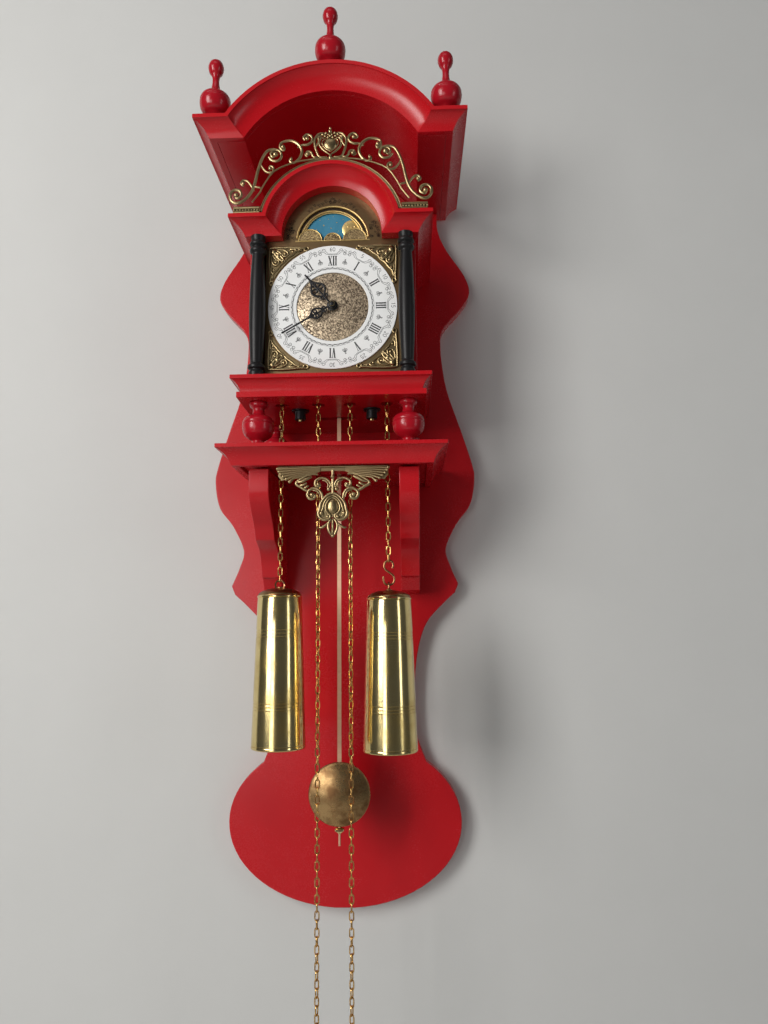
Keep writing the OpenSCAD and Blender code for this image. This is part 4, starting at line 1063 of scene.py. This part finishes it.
def make_hands():
    for node, body, turn, parts, hub in (("minute_hand", "minute", 240, (52, 17, 4.6, 9, 0.45), 3.6),
                                         ("hour_hand", "hour", 320, (38.6, 21, 6.4, 12, 0.45), 5.0)):
        at = Span(node)
        made = hand(*parts)
        made.dish([(0, -0.5), (hub - 0.4, -0.5), (hub, -0.2), (hub, 0.35), (0, 0.35)], (0, 0, 0), 40)
        depth = (at.y0 + at.y1) / 2
        made = made.moved(RING.x, depth, RING.z, turn)
        made.piece(node + "_pierced", body, BLACK_STEEL, [node], "black_steel", 40)
    end = Span("minute_arbor").y0
    Shape().dish([(0, end - 0.6), (1.2, end - 0.45), (2.2, end), (2.7, end + 0.6), (2.7, end + 1.6),
                  (0, end + 1.6)], (RING.x, 0, RING.z), 32).piece("hand_nut", "minute", BLACK_STEEL)


# ---- Weights, chains and pendulum ----
def make_weight(node, body, side_on):
    """A tapered brass cylinder with engraved lines and a domed cap, and the wire loop it hangs by."""
    at = Span(node)
    foot_r, top_r, height = at.w / 2, WEIGHT_TOP, WEIGHT_H
    rim = at.z0 + height

    def wall(share):
        return foot_r + (top_r - foot_r) * share

    def line(share):
        """A turned line: a small groove between two fillets."""
        z = share * height
        return [(wall(share), z - 0.5), (wall(share) - 0.5, z - 0.3), (wall(share) - 0.5, z + 0.3),
                (wall(share), z + 0.5)]

    profile = [(0, 0), (foot_r - 1.6, 0), (foot_r - 0.5, 0.35), (foot_r, 1.1), (foot_r, 2.2)]
    for share in (0.027, 0.257, 0.278, 0.299, 0.728, 0.749, 0.77):
        profile += line(share)
    profile += [(wall(0.985), height - 2.2), (wall(0.985) - 0.3, height - 1.6), (top_r + 0.35, height - 1.2),
                (top_r + 0.45, height - 0.2), (top_r - 0.2, height + 0.4)]
    cap = [(round_at(top_r - 0.3, a)[0], height + 0.2 + round_at(6.6, a)[1]) for a in range(0, 84, 7)]
    cap = [(0, height), (top_r - 0.3, height), *cap, (2.6, height + 6.8), (2.6, height + 7.4),
           (1.4, height + 7.8), (0, height + 7.8)]
    Shape().lathe(cap, (at.x, at.y, at.z0), 96).piece(node + "_cap", body, BOB)
    profile.append((0, height + 0.4))
    Shape().lathe(profile, (at.x, at.y, at.z0), 96).piece(node + "_turned", body, POLISHED, [node],
                                                        "polished_brass", 28)
    loop = Shape()
    ring = []
    for k in range(24):
        a = TAU * k / 24
        u, z = 4 * math.cos(a), 4 * math.sin(a)
        ring.append((at.x + (0 if side_on else u), at.y + (u if side_on else 0), rim + 9.4 + z))
    loop.tube(ring, 0.85, 8, True)
    loop.piece(node + "_loop", body, COPPER)


def make_hook():
    at = Span("weight_hook")
    foot = Span("time_weight").z0 + WEIGHT_H + 16.2
    path = [(-4.6, 2.6), (-4.7, -0.6), (-3.2, -3.8), (0, -5), (3.4, -3.6), (4.8, -0.4), (3.9, 3), (0.6, 5.8),
            (-2.8, 8.4), (-4, 11.8), (-2.7, 15.2), (0.2, 16.4), (3, 15), (3.9, 12), (3.2, 9.6)]
    wire = [(at.x + q[0], at.y, foot + q[1]) for q in smooth_path(path, 4)]
    Shape().tube(wire, 0.95, 10).piece("weight_hook_bent", "time_load", COPPER, ["weight_hook"], "copper", 60)


def chain_link(wide, pitch, wire):
    """One welded oval link, upright, in the xz plane."""
    half = (wide - wire) / 2
    straight = (pitch + wire) / 2 - half
    path = []
    for sign, start in ((1, 0), (-1, 180)):
        for x, z in (round_at(half, start + 30 * k) for k in range(7)):
            path.append((x, 0, sign * straight + z))
    return Shape().tube(path, wire / 2, 6, True)


def hang_chain(node, body, bottom, top, twist, ring_end=False):
    """Links from the bottom up, each a quarter turn on from the last, in a slow twist."""
    at = Span(node)
    pitch, wide, wire = 6.45, 4.5, 1.15
    link = chain_link(wide, pitch, wire)
    chain = Shape()
    count = int((top - bottom) / pitch)
    x = at.x
    for k in range(count):
        turn = math.radians(twist + 90 * k + 1.4 * k + 7 * math.sin(k * 0.31))
        c, s = math.cos(turn), math.sin(turn)
        z = bottom + pitch * (k + 0.5)
        chain.add([(x + v[0] * c - v[1] * s, at.y + v[0] * s + v[1] * c, z + v[2]) for v in link.verts],
                  link.faces)
    if ring_end:
        ring = [(x + 6.4 * math.cos(TAU * k / 32), at.y,
                 bottom - 5.4 + 6.4 * math.sin(TAU * k / 32)) for k in range(32)]
        chain.tube(ring, 0.9, 8, True)
    chain.piece(node + "_links", body, CHAIN, [node], "chain_brass", 60)


def make_chains():
    time_rim = Span("time_weight").z0 + WEIGHT_H
    strike_rim = Span("strike_weight").z0 + WEIGHT_H
    for name, load, rim in (("time", "time_load", time_rim + 31.4),
                            ("strike", "strike_load", strike_rim + 11.6)):
        loaded = name + "_chain_loaded"
        free = name + "_chain_free"
        hang_chain(loaded, load, rim, Span(loaded).z1, 80 if name == "time" else 90)
        hang_chain(free, name + "_tail", Span(free).z0 + 13.6, Span(free).z1, 25, True)


def make_pendulum():
    bob = Span("pendulum_bob")
    r, half = bob.w / 2, bob.d / 2
    profile = [(0, -half)]
    profile += [(r * 0.97 * k / 14, -half + (half - 1.5) * (k / 14) ** 2) for k in range(1, 15)]
    profile += [(r * 0.985, -1.55), (r - 0.1, -1), (r, 0), (r - 0.1, 1), (r * 0.985, 1.55)]
    profile += [(r * 0.97 * k / 14, half - (half - 1.5) * (k / 14) ** 2) for k in range(14, 0, -1)]
    profile += [(0, half)]
    Shape().dish(profile, (bob.x, bob.y, bob.z), 96).piece("bob_lens", "pendulum", BOB, ["pendulum_bob"],
                                                          "polished_brass", 35)
    nut = Span("rating_nut")
    knurled = [(0, 0), (1.8, 0), (2.4, 0.5), (4.1, 1.9), (4.5, 2.4), (4.5, 3.9), (4, 4.4), (2.8, 5), (0, 5.2)]
    Shape().lathe(knurled, (nut.x, nut.y, nut.z0), 48).piece("rating_nut_turned", "pendulum", POLISHED,
                                                            ["rating_nut"], "polished_brass", 30)


# ---- Stage ----
def make_stage():
    wall = Shape().add([(-2600, 2.5, -1500), (2600, 2.5, -1500), (2600, 2.5, 1800), (-2600, 2.5, 1800)],
                       [(0, 1, 2, 3)])
    floor_z = cad_box[0].z / MM - 320
    floor = Shape().add([(-2600, -3200, floor_z), (2600, -3200, floor_z), (2600, 2600, floor_z),
                         (-2600, 2600, floor_z)], [(0, 1, 2, 3)])
    for name, shape, material in (("wall", wall, plaster("wall_plaster", (0.62, 0.62, 0.60), True)),
                                  ("floor", floor, plaster("floor_plaster", (0.70, 0.70, 0.68), False))):
        mesh = bpy.data.meshes.new(name)
        mesh.from_pydata([tuple(c * MM for c in v) for v in shape.verts], [], shape.faces)
        thing = object_of(name, mesh, material)
        if name == "wall":
            thing.visible_shadow = False
            thing.visible_diffuse = False


make_camera()
make_lights()
make_stage()
make_joinery()
make_turnings()
make_pendant()
make_crest()
make_dial()
make_moon()
make_hands()
make_weight("time_weight", "time_load", True)
make_weight("strike_weight", "strike_load", False)
make_hook()
make_chains()
make_pendulum()
softened("thumb_nuts", "case", BLACK_STEEL, 0.3)
coat(["front_plate", "back_plate", "plate_pillars", "suspension_cock", "bell_stand", "great_wheel",
      "second_wheel", "third_wheel", "escape_wheel", "time_sprocket", "strike_sprocket", "minute_arbor",
      "hour_pipe"], MOVEMENT)
coat(["bell", "anchor", "hammer"], STEEL)
coat(["dial_plate"], DIAL_BRASS)
coat(["pendulum_rod"], ROD)
